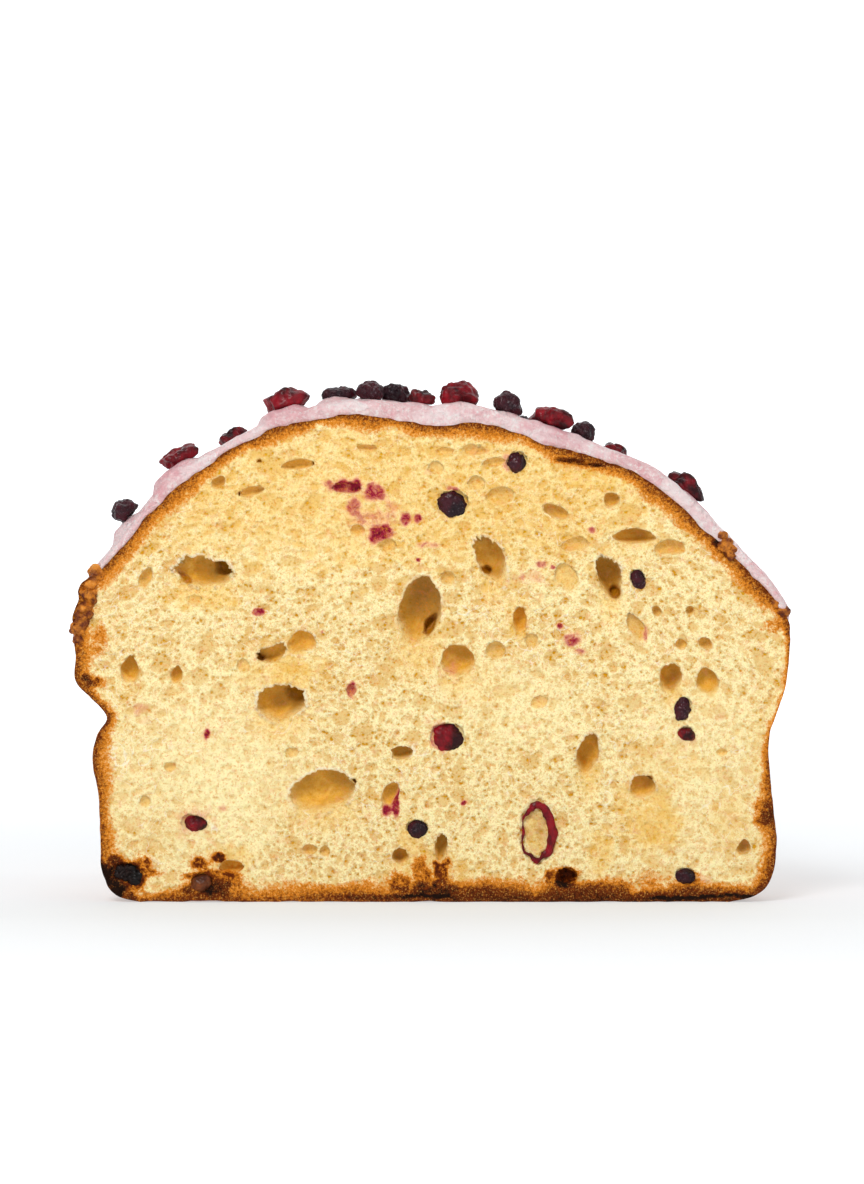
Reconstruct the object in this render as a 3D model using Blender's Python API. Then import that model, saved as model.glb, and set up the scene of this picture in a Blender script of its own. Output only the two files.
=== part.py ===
"""Half of a colomba cake, cut straight across its wings.

The parts are the loaf with its open crumb, the icing poured over the dome, the dried fruit
strewn on the icing and the fruit that shows in the cut. Metres, +Z up. The cut face looks
along -Y and the tail runs back along +Y. The origin is the centre of the bottom of the box
round all the parts.
"""

import bisect
import math
import random

import bmesh
import bpy
from mathutils import Matrix, Vector, noise
from mathutils.bvhtree import BVHTree

MM = 0.001
GAP = 0.35 * MM  # clearance between pieces that touch
ICING_GAP = 0.45 * MM  # a little more under the icing, whose edge runs across the facets
SEED = 7

# The loaf in plan and in section
HALF_LENGTH = 130 * MM  # from the cut to the end of the tail
SPINE_LENGTH = 80 * MM  # the ridge of the dome, from the cut to where the tail rounds off
SPINE_EASE = 1.3  # how soon the ribs begin to fan round the end of the ridge
TAIL_DROP = 0.22  # share of the dome's height lost by the end of the ridge
CORE_HEIGHT = 45 * MM  # bumps and icing stand out radially from this height over the base
HOOPS = 29  # sections from the cut to the end of the tail
LUMP = 0.9 * MM  # height of the broad lumps in the crust
BLISTER = 0.45 * MM  # height of the small ones
CALM_DEPTH = 9 * MM  # the bumps fade towards the cut, whose outline is drawn below

# Rows of the section in mm, from the rim of the flat base up to the ridge:
# (left x, left z, right x, right z), with x measured outwards from the middle.
SECTION = (
    (64.0, 0.0, 66.0, 0.0),
    (69.5, 1.6, 72.0, 1.5),
    (72.6, 6.5, 75.6, 5.5),
    (73.0, 14.0, 76.8, 13.0),
    (73.3, 23.0, 76.0, 21.5),
    (74.5, 31.5, 75.0, 30.0),
    (73.6, 37.0, 75.2, 37.0),
    (71.4, 40.8, 76.4, 41.0),
    (74.6, 45.0, 78.2, 46.0),
    (77.4, 48.5, 79.0, 50.5),
    (78.2, 55.5, 79.5, 57.0),
    (77.8, 62.5, 79.0, 62.8),
    (75.2, 70.0, 75.2, 68.3),
    (69.8, 77.0, 69.6, 74.2),
    (63.2, 85.0, 62.8, 80.8),
    (55.5, 92.7, 54.0, 88.9),
    (46.3, 99.0, 45.2, 95.2),
    (36.5, 104.2, 35.5, 98.8),
    (27.0, 107.0, 26.8, 101.2),
    (17.5, 108.0, 18.5, 104.4),
    (9.0, 107.2, 10.0, 106.1),
    (0.0, 105.6, 0.0, 105.6),
)
RIDGE_ROW = len(SECTION) - 1
RIM_ROW = 7  # where the paper mould ended and the dough spilled over
HALF_BASE = (73.0 * MM, 76.5 * MM)

# The foot of the wall in plan: (share of the half base, mm behind the cut)
PLAN = (
    (1.000, 0.0),
    (0.992, 9.0),
    (0.972, 18.0),
    (0.922, 28.5),
    (0.835, 39.0),
    (0.745, 48.5),
    (0.702, 58.0),
    (0.700, 70.0),
    (0.728, 82.0),
    (0.742, 93.0),
    (0.712, 104.5),
    (0.612, 115.5),
    (0.440, 124.0),
    (0.225, 128.7),
    (0.000, 130.0),
)

# The icing
ICING = 2.6 * MM
ICING_EDGE = 1.1 * MM
ICING_SWELL = 0.8 * MM
STEEP_GAP = 0.45 * MM  # more clearance where its edge climbs a row from one hoop to the next
DIP_FILL = 1.5 * MM  # extra where it fills the dip in the crust beside the ridge at the cut
ICING_LOW_ROW = 9  # no drip hangs lower than this row of the section
# Where the icing ends: (share of the way from the cut to the tail's end, row), by side
ICING_ENDS = (
    ((0.0, 12.3), (0.09, 9.3), (0.20, 10.6), (0.27, 10.0), (0.40, 11.8), (0.55, 9.5),
     (0.70, 11.4), (0.84, 9.8), (1.0, 11.0)),
    ((0.0, 11.1), (0.10, 10.0), (0.23, 11.8), (0.37, 9.6), (0.50, 11.2), (0.58, 10.6),
     (0.72, 12.0), (0.87, 10.2), (1.0, 11.0)),
)

# Bubbles that the knife opened, in mm: (x, z, width, height, lean in degrees, depth)
BUBBLES = (
    (-2.7, 63.9, 8.4, 14.6, 10, 6.5), (6.0, 53.3, 7.5, 8.0, 0, 4.0),
    (-49.9, 72.7, 12.2, 6.2, 5, 4.0), (-33.2, 43.8, 10.2, 8.4, 0, 5.5),
    (-23.9, 24.3, 13.7, 8.8, -12, 4.5), (-34.9, 54.6, 6.6, 3.8, -20, 3.0),
    (-28.6, 57.4, 6.4, 4.6, -20, 2.0), (13.5, 75.6, 5.4, 11.0, -28, 5.0),
    (39.8, 71.6, 4.4, 9.8, -18, 6.0), (45.1, 80.9, 8.8, 3.1, 3, 4.0),
    (53.0, 78.2, 7.2, 3.4, 0, 2.2), (53.3, 49.4, 4.2, 6.4, 5, 4.0),
    (61.4, 48.6, 4.9, 6.2, -10, 2.8), (34.9, 32.0, 4.2, 9.3, 12, 4.5),
    (46.9, 25.4, 5.7, 5.3, 0, 3.6), (-66.4, 51.3, 3.6, 6.0, 0, 3.0),
    (-56.1, 50.2, 2.3, 4.0, 10, 2.5), (-6.2, 33.0, 5.1, 3.3, -10, 3.0),
    (-8.8, 23.4, 4.0, 6.6, 20, 2.8), (-29.6, 96.6, 7.1, 2.3, -6, 2.5),
    (-39.8, 90.6, 5.7, 2.1, -15, 2.0), (-46.9, 92.6, 3.1, 2.4, -40, 2.0),
    (-63.0, 71.6, 2.6, 4.4, 24, 2.0), (19.9, 62.3, 3.1, 6.6, -5, 3.0),
    (9.7, 99.6, 4.9, 2.3, -5, 1.8), (15.5, 89.6, 6.0, 4.4, 0, 1.6),
    (27.8, 86.2, 6.0, 2.9, 20, 2.4), (40.0, 88.8, 3.8, 3.5, -30, 2.6),
    (-6.6, 10.0, 3.4, 3.6, 0, 3.2), (2.4, 11.9, 2.3, 6.2, 10, 3.5),
    (30.4, 5.6, 4.6, 3.4, 0, 3.6), (69.4, 12.0, 3.1, 3.8, 0, 2.5),
    (45.7, 60.6, 3.4, 7.0, -25, 1.8), (61.0, 57.0, 3.1, 2.9, 30, 2.2),
    (14.4, 55.3, 4.2, 4.0, 0, 1.6), (-44.0, 7.6, 5.4, 3.2, 0, 3.0),
)
LARGE_BUBBLE = 11 * MM  # a bubble wider than this gets a finer cutter
SMALL_BUBBLE = 4.3 * MM  # and one narrower than this a coarser one
TORN = 0.10  # how far a bubble's rim strays from an ellipse, as a share of its size

# Fruit caught in the cut, in mm: (name, x, z, width, height, lean, depth)
FRUIT_IN_CRUMB = (
    ("crumb_currant_1", 4.9, 87.7, 7.3, 7.0, 0, 6.0),
    ("crumb_currant_2", 19.2, 97.0, 4.6, 5.2, 0, 4.5),
    ("crumb_currant_3", 56.0, 42.6, 4.0, 6.2, 8, 4.5),
    ("crumb_currant_4", -2.7, 15.9, 4.9, 4.5, 0, 4.0),
    ("crumb_currant_5", 46.0, 71.2, 3.3, 4.7, -25, 3.5),
    ("crumb_currant_6", 56.4, 5.6, 5.0, 3.8, 0, 4.0),
    ("crumb_cranberry_1", 4.0, 36.2, 7.8, 7.4, 0, 5.5),
    ("crumb_cranberry_2", 56.8, 37.0, 4.4, 3.2, 20, 3.5),
    ("crumb_cranberry_3", -51.9, 17.2, 6.2, 4.6, 10, 4.5),
    ("burnt_currant", -67.0, 6.0, 8.0, 5.4, 20, 5.0),
    ("baked_raisin", -50.6, 4.2, 5.6, 4.6, -20, 4.5),
)
FRUIT_STANDS_OUT = 0.5 * MM
# A cranberry cut through, of which the rim of skin shows: x, z, width, height, thickness
SKIN_RING = (23.6, 15.4, 6.4, 12.4, 1.9)

# Dried fruit along the cut, in mm: (kind, x, behind the cut, length, width, height, turn)
# Turn 0 lays the length across the cake, from side to side.
FRUIT_BY_CUT = (
    ("currant", -66.3, 4.5, 7.4, 5.6, 5.6, 80),
    ("cranberry", -54.6, 4.5, 11.4, 6.0, 5.2, 4),
    ("cranberry", -43.6, 15.0, 8.0, 6.0, 4.0, 15),
    ("cranberry", -31.2, 4.6, 10.6, 7.2, 7.0, -8),
    ("currant", -20.3, 9.0, 8.2, 5.6, 4.0, 5),
    ("currant", -13.3, 5.6, 5.6, 5.4, 5.4, 0),
    ("currant", -8.0, 10.0, 6.4, 5.6, 5.8, 20),
    ("cranberry", -2.2, 5.0, 7.4, 4.6, 5.0, -6),
    ("cranberry", 6.4, 5.0, 9.0, 7.0, 8.0, 12),
    ("currant", 16.8, 3.9, 6.6, 6.2, 6.2, 0),
    ("cranberry", 26.4, 4.4, 12.6, 6.4, 6.4, -4),
    ("currant", 33.6, 9.4, 5.2, 5.0, 6.0, 0),
    ("cranberry", 41.0, 15.5, 7.2, 5.4, 3.6, 10),
    ("cranberry", 56.0, 7.6, 11.6, 6.4, 5.0, -4),
)
STREWN = 26  # more of both kinds over the rest of the icing
STREWN_APART = 13.2 * MM
STREWN_BEHIND = 21 * MM  # the first of them lies this far behind the cut
CURRANT_SHARE = 0.42
PRESSED_IN = 0.22  # share of its height by which a piece of fruit is pressed into the icing

COLOURS = {  # linear base colour, roughness
    "loaf": ((0.80, 0.60, 0.28), 0.85),
    "icing": ((0.83, 0.62, 0.67), 0.35),
    "cranberry": ((0.22, 0.008, 0.018), 0.35),
    "currant": ((0.035, 0.014, 0.022), 0.45),
    "burnt": ((0.012, 0.006, 0.005), 0.6),
    "raisin": ((0.24, 0.07, 0.02), 0.6),
}


def clear_scene():
    for obj in list(bpy.data.objects):
        bpy.data.objects.remove(obj, do_unlink=True)


def material(kind):
    found = bpy.data.materials.get(kind)
    if found:
        return found
    colour, roughness = COLOURS[kind]
    made = bpy.data.materials.new(kind)
    made.use_nodes = True
    shader = made.node_tree.nodes["Principled BSDF"]
    shader.inputs["Base Color"].default_value = (*colour, 1.0)
    shader.inputs["Roughness"].default_value = roughness
    shader.inputs["Metallic"].default_value = 0.0
    return made


def add_object(name, bm, collection, kind=None):
    """The bmesh as an object, shaded smooth, with the material of its kind."""
    mesh = bpy.data.meshes.new(name)
    bm.to_mesh(mesh)
    bm.free()
    obj = bpy.data.objects.new(name, mesh)
    collection.objects.link(obj)
    if kind:
        mesh.materials.append(material(kind))
        mesh.shade_smooth()
    else:
        obj.hide_render = True
        obj.display_type = "WIRE"
    return obj


def smoothstep(t):
    t = min(1.0, max(0.0, t))
    return t * t * (3 - 2 * t)


def catmull_rom(points, at):
    """The smooth curve through the points, at a fractional index."""
    last = len(points) - 1
    i = min(int(at), last - 1)
    t = at - i
    p0, p1 = points[max(i - 1, 0)], points[i]
    p2, p3 = points[i + 1], points[min(i + 2, last)]
    return tuple(
        0.5 * (2 * b + (c - a) * t + (2 * a - 5 * b + 4 * c - d) * t * t
               + (3 * b - a - 3 * c + d) * t ** 3)
        for a, b, c, d in zip(p0, p1, p2, p3)
    )


def step_through(table, at):
    """The value at a place in a table of (place, value), eased from each to the next."""
    places = [place for place, _ in table]
    i = min(max(bisect.bisect_right(places, at) - 1, 0), len(table) - 2)
    (x0, y0), (x1, y1) = table[i], table[i + 1]
    return y0 + (y1 - y0) * smoothstep((at - x0) / (x1 - x0))


def plan_stations(count):
    """Plan points at even steps along the foot of the wall, as (share, metres behind the cut)."""
    fine = [catmull_rom(PLAN, (len(PLAN) - 1) * i / 400) for i in range(401)]
    wide = sum(HALF_BASE) / 2
    walked = [0.0]
    for (x0, y0), (x1, y1) in zip(fine, fine[1:]):
        walked.append(walked[-1] + math.hypot((x1 - x0) * wide, (y1 - y0) * MM))
    stations = []
    for i in range(count):
        want = walked[-1] * i / (count - 1)
        j = min(bisect.bisect_left(walked, want), len(fine) - 1)
        stations.append((fine[j][0], fine[j][1] * MM))
    return stations


STATIONS = plan_stations(HOOPS)


def section_row(side, row, share):
    """The section's (x over the half base, z) at a row. Left and right grow alike to the tail."""
    blend = smoothstep(share * 1.4) * 0.5
    own = SECTION[row][2 * side:2 * side + 2]
    other = SECTION[row][2 - 2 * side:4 - 2 * side]
    own_x = own[0] * MM / HALF_BASE[side]
    other_x = other[0] * MM / HALF_BASE[1 - side]
    return own_x + (other_x - own_x) * blend, (own[1] + (other[1] - own[1]) * blend) * MM


def bumps(point):
    """Lumps and blisters of the crust, calm at the cut and flat on the base."""
    broad = noise.noise(point / (24 * MM) + Vector((3.1, 0.0, 1.7)))
    small = noise.noise(point / (9 * MM) + Vector((0.0, 8.3, 2.2)))
    calm = smoothstep(point.y / CALM_DEPTH) * smoothstep((point.z - 2 * MM) / (10 * MM))
    return (LUMP * broad + BLISTER * small) * calm


def skin_point(hoop, side, row, lift=0.0):
    """A point of the loaf's skin. Lift moves it out, as for the two faces of the icing."""
    if row != int(row):
        below = skin_point(hoop, side, int(row), lift)
        return below.lerp(skin_point(hoop, side, int(row) + 1, lift), row - int(row))
    row = int(row)
    share = hoop / (HOOPS - 1)
    plan_share, plan_y = STATIONS[hoop]
    foot = Vector(((-1, 1)[side] * HALF_BASE[side] * plan_share, plan_y, 0.0))
    ridge = Vector((0.0, SPINE_LENGTH * (1 - (1 - share) ** SPINE_EASE), 0.0))
    out, z = section_row(side, row, share)
    rim_z = section_row(side, RIM_ROW, share)[1]
    if z > rim_z:
        z = rim_z + (z - rim_z) * (1 - TAIL_DROP * smoothstep(share))
    point = ridge + (foot - ridge) * out
    point.z = z
    core = ridge + Vector((0.0, 0.0, CORE_HEIGHT))
    return point + (point - core).normalized() * (bumps(point) + lift)


def grid_of(columns, hoops, place):
    """An open grid whose vertices are put by place(column, hoop), with doubles merged.

    Every grid splits its quads the same way, so that one skin follows another exactly."""
    bm = bmesh.new()
    bmesh.ops.create_grid(bm, x_segments=columns - 1, y_segments=hoops - 1, size=1.0)
    for vert in bm.verts:
        column = round((vert.co.x + 1) / 2 * (columns - 1))
        hoop = round((vert.co.y + 1) / 2 * (hoops - 1))
        vert.co = place(column, hoop)
    bmesh.ops.triangulate(bm, faces=bm.faces, quad_method="FIXED")
    bmesh.ops.remove_doubles(bm, verts=bm.verts, dist=1e-6)
    return bm


def build_loaf(collection):
    """The body: a ring of rows at each hoop, round the base and over the dome."""
    base_shares = (0.0, 0.5)
    ring = (
        [(0, share, None) for share in base_shares]
        + [(0, None, row) for row in range(RIDGE_ROW + 1)]
        + [(1, None, row) for row in range(RIDGE_ROW - 1, -1, -1)]
        + [(1, share, None) for share in reversed(base_shares)]
    )

    def place(column, hoop):
        side, base_share, row = ring[column]
        if row is not None:
            return skin_point(hoop, side, row)
        edge = skin_point(hoop, side, 0)
        middle = Vector((0.0, SPINE_LENGTH * (1 - (1 - hoop / (HOOPS - 1)) ** SPINE_EASE), 0.0))
        return middle + (edge - middle) * base_share

    bm = grid_of(len(ring), HOOPS, place)
    bmesh.ops.holes_fill(bm, edges=[e for e in bm.edges if e.is_boundary], sides=0)
    bmesh.ops.recalc_face_normals(bm, faces=bm.faces)
    return add_object("loaf", bm, collection, "loaf")


def icing_end(side, hoop):
    return step_through(ICING_ENDS[side], hoop / (HOOPS - 1))


def icing_thickness(hoop, side, row, end_row):
    """Thin at its edge, fuller on the flat, and deep where it fills the dip at the cut."""
    at = skin_point(hoop, side, row)
    edge = smoothstep((row - end_row) / 2.2)
    thick = ICING_EDGE + (ICING - ICING_EDGE) * edge
    thick += ICING_SWELL * edge * noise.noise(at / (17 * MM) + Vector((5.0, 1.0, 9.0)))
    near_cut = 1 - smoothstep(at.y / (25 * MM))
    dip = math.exp(-(((at.x - 3 * MM) / (9 * MM)) ** 2))
    return thick + DIP_FILL * near_cut * dip


def build_icing(collection):
    """The icing as two skins bridged round their edge."""
    rows = list(range(ICING_LOW_ROW, RIDGE_ROW + 1))
    ring = [(0, row) for row in rows] + [(1, row) for row in reversed(rows[:-1])]

    def skin(outer):
        def place(column, hoop):
            side, row = ring[column]
            end_row = icing_end(side, hoop)
            row = max(row, end_row)
            climb = abs(icing_end(side, hoop + 1) - icing_end(side, hoop - 1)) / 2
            lift = ICING_GAP + STEEP_GAP * climb * (1 - smoothstep((row - end_row) / 2))
            if outer:
                lift += icing_thickness(hoop, side, row, end_row)
            return skin_point(hoop, side, row, lift)
        return grid_of(len(ring), HOOPS, place)

    bm = skin(outer=True)
    inner = skin(outer=False)
    mesh = bpy.data.meshes.new("icing_inner")
    inner.to_mesh(mesh)
    inner.free()
    bm.from_mesh(mesh)
    bpy.data.meshes.remove(mesh)
    bmesh.ops.bridge_loops(bm, edges=[e for e in bm.edges if e.is_boundary])
    bmesh.ops.recalc_face_normals(bm, faces=bm.faces)
    return add_object("icing", bm, collection, "icing")


def crumpled(size, seed, detail=2, crumple=0.16):
    """A shrunken ball of the given size, with hollows in its skin."""
    bm = bmesh.new()
    bmesh.ops.create_icosphere(bm, subdivisions=detail, radius=1.0)
    shift = Vector((seed * 3.7, seed * 1.3, seed * 2.9))
    for vert in bm.verts:
        way = vert.co.normalized()
        swell = noise.noise(way * 1.3 + shift) - 0.6 * abs(noise.noise(way * 2.6 + shift))
        vert.co = way * (1 + crumple * swell)
    spans = [max(v.co[i] for v in bm.verts) - min(v.co[i] for v in bm.verts) for i in range(3)]
    for vert in bm.verts:
        vert.co = Vector(vert.co[i] * size[i] / spans[i] for i in range(3))
    return bm


def in_cut(x, z, lean, behind):
    """A place on the cut face. Lean turns it clockwise as seen from the front."""
    turn = Matrix.Rotation(math.radians(lean), 4, "Y")
    return Matrix.Translation((x * MM, behind, z * MM)) @ turn


def build_bubble_cutters(collection):
    for i, (x, z, width, height, lean, depth) in enumerate(BUBBLES):
        size = (width * MM, 2 * depth * MM, height * MM)
        wide = max(width, height) * MM
        detail = 1 if wide < SMALL_BUBBLE else 3 if wide > LARGE_BUBBLE else 2
        bm = crumpled(size, seed=i + 40, detail=detail, crumple=TORN)
        bmesh.ops.transform(bm, matrix=in_cut(x, z, lean, 0.06 * depth * MM), verts=bm.verts)
        add_object(f"bubble_{i}", bm, collection)


def build_fruit_in_crumb(parts, cutters):
    """Each piece of fruit in the cut, and the pocket that it lies in."""
    for i, (name, x, z, width, height, lean, depth) in enumerate(FRUIT_IN_CRUMB):
        kind = {"burnt_currant": "burnt", "baked_raisin": "raisin"}.get(name, name.split("_")[1])
        behind = (depth / 2) * MM - FRUIT_STANDS_OUT
        for owner, grow in ((parts, 0.0), (cutters, 2 * GAP)):
            size = (width * MM + grow, depth * MM + grow, height * MM + grow)
            bm = crumpled(size, seed=i + 10)
            bmesh.ops.transform(bm, matrix=in_cut(x, z, lean, behind), verts=bm.verts)
            if owner is parts:
                add_object(name, bm, owner, kind)
            else:
                add_object("pocket_" + name, bm, owner)


def ring_mesh(width, height, thick):
    """An upright oval ring, its own section round, turned to face the front."""
    bm = bmesh.new()
    bmesh.ops.create_circle(bm, segments=5, radius=thick / 2)
    bmesh.ops.translate(bm, verts=bm.verts, vec=(1.0, 0.0, 0.0))
    bmesh.ops.rotate(bm, verts=bm.verts, cent=(1, 0, 0),
                     matrix=Matrix.Rotation(math.pi / 2, 3, "X"))
    bmesh.ops.spin(bm, geom=bm.edges[:] + bm.verts[:], axis=(0, 0, 1), cent=(0, 0, 0),
                   angle=2 * math.pi, steps=16, use_merge=True)
    bmesh.ops.remove_doubles(bm, verts=bm.verts, dist=1e-7)
    bmesh.ops.rotate(bm, verts=bm.verts, cent=(0, 0, 0),
                     matrix=Matrix.Rotation(math.pi / 2, 3, "X"))
    for vert in bm.verts:
        spoke = Vector((vert.co.x, 0.0, vert.co.z))
        across = spoke.length - 1.0
        way = spoke.normalized()
        centre = Vector((way.x * width / 2, 0.0, way.z * height / 2))
        vert.co = centre + way * across + Vector((0.0, vert.co.y, 0.0))
    bmesh.ops.recalc_face_normals(bm, faces=bm.faces)
    return bm


def build_skin_ring(parts, cutters):
    x, z, width, height, thick = SKIN_RING
    for owner, grow in ((parts, 0.0), (cutters, 2 * GAP)):
        bm = ring_mesh(width * MM, height * MM, thick * MM + grow)
        bmesh.ops.transform(bm, matrix=in_cut(x, z, 0, 0.45 * MM), verts=bm.verts)
        if owner is parts:
            add_object("crumb_cranberry_4", bm, owner, "cranberry")
        else:
            add_object("pocket_ring", bm, owner)


def mesh_difference(obj, cutters):
    """Takes every object of the collection out of obj."""
    cut = obj.modifiers.new("cut", "BOOLEAN")
    cut.operation = "DIFFERENCE"
    cut.operand_type = "COLLECTION"
    cut.collection = cutters
    cut.solver = "EXACT"


def strewn_places(surface):
    """Places for the rest of the fruit: random and apart, all on the icing."""
    rng = random.Random(SEED)
    taken = [(x * MM, behind * MM) for _, x, behind, *_ in FRUIT_BY_CUT]
    places = []
    for _ in range(6000):
        x = rng.uniform(-1, 1) * 72 * MM
        y = rng.uniform(STREWN_BEHIND, HALF_LENGTH)
        hit, normal, _, _ = surface.ray_cast(Vector((x, y, 0.2)), Vector((0, 0, -1)))
        if hit is None or normal.z < 0.34:
            continue
        if min(math.hypot(x - a, y - b) for a, b in taken) < STREWN_APART:
            continue
        taken.append((x, y))
        places.append((x, y))
        if len(places) == STREWN:
            break
    return places


def lie_on(surface, x, y, height, turn):
    """The matrix that lays a piece of fruit on the icing over x, y, pressed in a little."""
    hit, normal, _, _ = surface.ray_cast(Vector((x, y, 0.2)), Vector((0, 0, -1)))
    across = Vector((1, 0, 0))
    along = (across - normal * across.dot(normal)).normalized()
    side = normal.cross(along)
    frame = Matrix((along, side, normal)).transposed().to_4x4()
    at = hit + normal * height * (0.5 - PRESSED_IN)
    return Matrix.Translation(at) @ frame @ Matrix.Rotation(math.radians(turn), 4, "Z")


def rest_on(surface, bm, normal):
    """Pushes up every vertex that would be in the icing, so that the underside follows it."""
    reach = 30 * MM
    for vert in bm.verts:
        hit, _, _, _ = surface.ray_cast(vert.co + normal * reach, -normal)
        if hit is not None:
            sunk = GAP - (vert.co - hit).dot(normal)
            vert.co += normal * max(0.0, sunk)


def build_fruit_on_icing(icing, parts):
    """Every piece of fruit on the icing, its underside shaped by the icing."""
    bm = bmesh.new()
    bm.from_mesh(icing.data)
    surface = BVHTree.FromBMesh(bm)
    bm.free()
    rng = random.Random(SEED + 1)
    rows = [(kind, x * MM, y * MM, (a * MM, b * MM, c * MM), turn)
            for kind, x, y, a, b, c, turn in FRUIT_BY_CUT]
    for x, y in strewn_places(surface):
        if rng.random() < CURRANT_SHARE:
            long = rng.uniform(5.4, 7.4) * MM
            size = (long, long * rng.uniform(0.82, 0.98), long * rng.uniform(0.75, 0.92))
            kind = "currant"
        else:
            long = rng.uniform(8.5, 12.0) * MM
            size = (long, long * rng.uniform(0.52, 0.66), long * rng.uniform(0.42, 0.56))
            kind = "cranberry"
        rows.append((kind, x, y, size, rng.uniform(0, 180)))
    counts = {"currant": 0, "cranberry": 0}
    for i, (kind, x, y, size, turn) in enumerate(rows):
        counts[kind] += 1
        bm = crumpled(size, seed=i + 70, crumple=0.3 if kind == "cranberry" else 0.14)
        matrix = lie_on(surface, x, y, size[2], turn)
        bmesh.ops.transform(bm, matrix=matrix, verts=bm.verts)
        rest_on(surface, bm, matrix.to_3x3() @ Vector((0, 0, 1)))
        add_object(f"top_{kind}_{counts[kind]:02d}", bm, parts, kind)


def centre_on_origin(parts, cutters):
    """Moves everything so that the origin is the centre of the bottom of the box."""
    bpy.context.view_layer.update()
    graph = bpy.context.evaluated_depsgraph_get()
    corners = [obj.evaluated_get(graph).matrix_world @ Vector(corner)
               for obj in parts.objects for corner in obj.evaluated_get(graph).bound_box]
    low = Vector(min(c[i] for c in corners) for i in range(3))
    high = Vector(max(c[i] for c in corners) for i in range(3))
    shift = Vector((-(low.x + high.x) / 2, -(low.y + high.y) / 2, -low.z))
    for collection in (parts, cutters):
        for obj in collection.objects:
            obj.location += shift


def new_collection(name, hidden=False):
    made = bpy.data.collections.new(name)
    bpy.context.scene.collection.children.link(made)
    made.hide_render = hidden
    return made


def main():
    clear_scene()
    parts = new_collection("colomba_cake")
    crumb_cutters = new_collection("crumb_cutters", hidden=True)
    loaf = build_loaf(parts)
    icing = build_icing(parts)
    build_bubble_cutters(crumb_cutters)
    build_fruit_in_crumb(parts, crumb_cutters)
    build_skin_ring(parts, crumb_cutters)
    mesh_difference(loaf, crumb_cutters)
    build_fruit_on_icing(icing, parts)
    centre_on_origin(parts, crumb_cutters)


main()
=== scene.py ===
"""The looks of half a colomba cake: open crumb at the cut, browned crust, pink icing and dried fruit.

Shapes are worked out in millimetres in the cake's own axes: x across the wings, y back from the
cut and z up from the base. They are then put in the frame's place and turned to metres.
"""

import math

import bmesh
import bpy
import numpy as np
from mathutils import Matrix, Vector, kdtree, noise
from mathutils.bvhtree import BVHTree
from mathutils.geometry import delaunay_2d_cdt


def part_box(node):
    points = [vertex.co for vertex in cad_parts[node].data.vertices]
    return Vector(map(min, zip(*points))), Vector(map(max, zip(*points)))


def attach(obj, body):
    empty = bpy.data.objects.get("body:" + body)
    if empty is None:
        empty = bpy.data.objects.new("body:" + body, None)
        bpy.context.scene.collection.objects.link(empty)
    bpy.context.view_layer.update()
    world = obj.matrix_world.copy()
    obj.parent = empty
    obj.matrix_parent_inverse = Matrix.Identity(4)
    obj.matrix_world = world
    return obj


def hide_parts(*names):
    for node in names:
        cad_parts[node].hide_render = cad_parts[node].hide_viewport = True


bl_info = {
    "name": "Colomba cake half",
    "version": (1, 0, 0),
    "blender": (4, 5, 0),
    "location": "View3D > Sidebar > Colomba",
    "description": "Builds the looks of half a colomba cake round its packed frame",
    "category": "Add Mesh",
}

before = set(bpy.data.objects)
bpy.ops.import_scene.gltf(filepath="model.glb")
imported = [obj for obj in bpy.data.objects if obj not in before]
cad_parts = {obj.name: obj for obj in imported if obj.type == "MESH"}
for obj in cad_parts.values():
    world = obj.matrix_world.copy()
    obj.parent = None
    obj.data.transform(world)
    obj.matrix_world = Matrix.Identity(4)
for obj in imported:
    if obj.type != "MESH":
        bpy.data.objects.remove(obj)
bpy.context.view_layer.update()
MM = 0.001

# The loaf, in millimetres, as in the CAD part
SPINE_LENGTH = 80.0
SPINE_EASE = 1.3
TAIL_DROP = 0.22
CORE_HEIGHT = 45.0
LUMP = 0.9
BLISTER = 0.45
CALM_DEPTH = 9.0
RIM_ROW = 7
HALF_BASE = (73.0, 76.5)
ICING_EDGE = 1.1
ICING_SWELL = 0.8
ICING_GAP = 0.45

# How finely the skin and the icing are drawn: points up the wall and over the base, hoops
# towards the tail, and how much closer the hoops lie near the cut
WALL_STEPS = 236
BASE_STEPS = 34
SKIN_HOOPS = 148
SKIN_CROWDING = 1.18
ICING_COLUMNS = 331
ICING_HOOPS = 176
ICING_CROWDING = 1.12
FRONT_LAYERS = 8
RING_END = 44.0  # the count of the loaf's ring when it is back at the middle of the base

# Rows of the section from the rim of the base to the ridge: left x, left z, right x, right z
SECTION = (
    (64.0, 0.0, 66.0, 0.0),
    (69.5, 1.6, 72.0, 1.5),
    (72.6, 6.5, 75.6, 5.5),
    (73.0, 14.0, 76.8, 13.0),
    (73.3, 23.0, 76.0, 21.5),
    (74.5, 31.5, 75.0, 30.0),
    (73.6, 37.0, 75.2, 37.0),
    (71.4, 40.8, 76.4, 41.0),
    (74.6, 45.0, 78.2, 46.0),
    (77.4, 48.5, 79.0, 50.5),
    (78.2, 55.5, 79.5, 57.0),
    (77.8, 62.5, 79.0, 62.8),
    (75.2, 70.0, 75.2, 68.3),
    (69.8, 77.0, 69.6, 74.2),
    (63.2, 85.0, 62.8, 80.8),
    (55.5, 92.7, 54.0, 88.9),
    (46.3, 99.0, 45.2, 95.2),
    (36.5, 104.2, 35.5, 98.8),
    (27.0, 107.0, 26.8, 101.2),
    (17.5, 108.0, 18.5, 104.4),
    (9.0, 107.2, 10.0, 106.1),
    (0.0, 105.6, 0.0, 105.6),
)
RIDGE_ROW = len(SECTION) - 1

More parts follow.
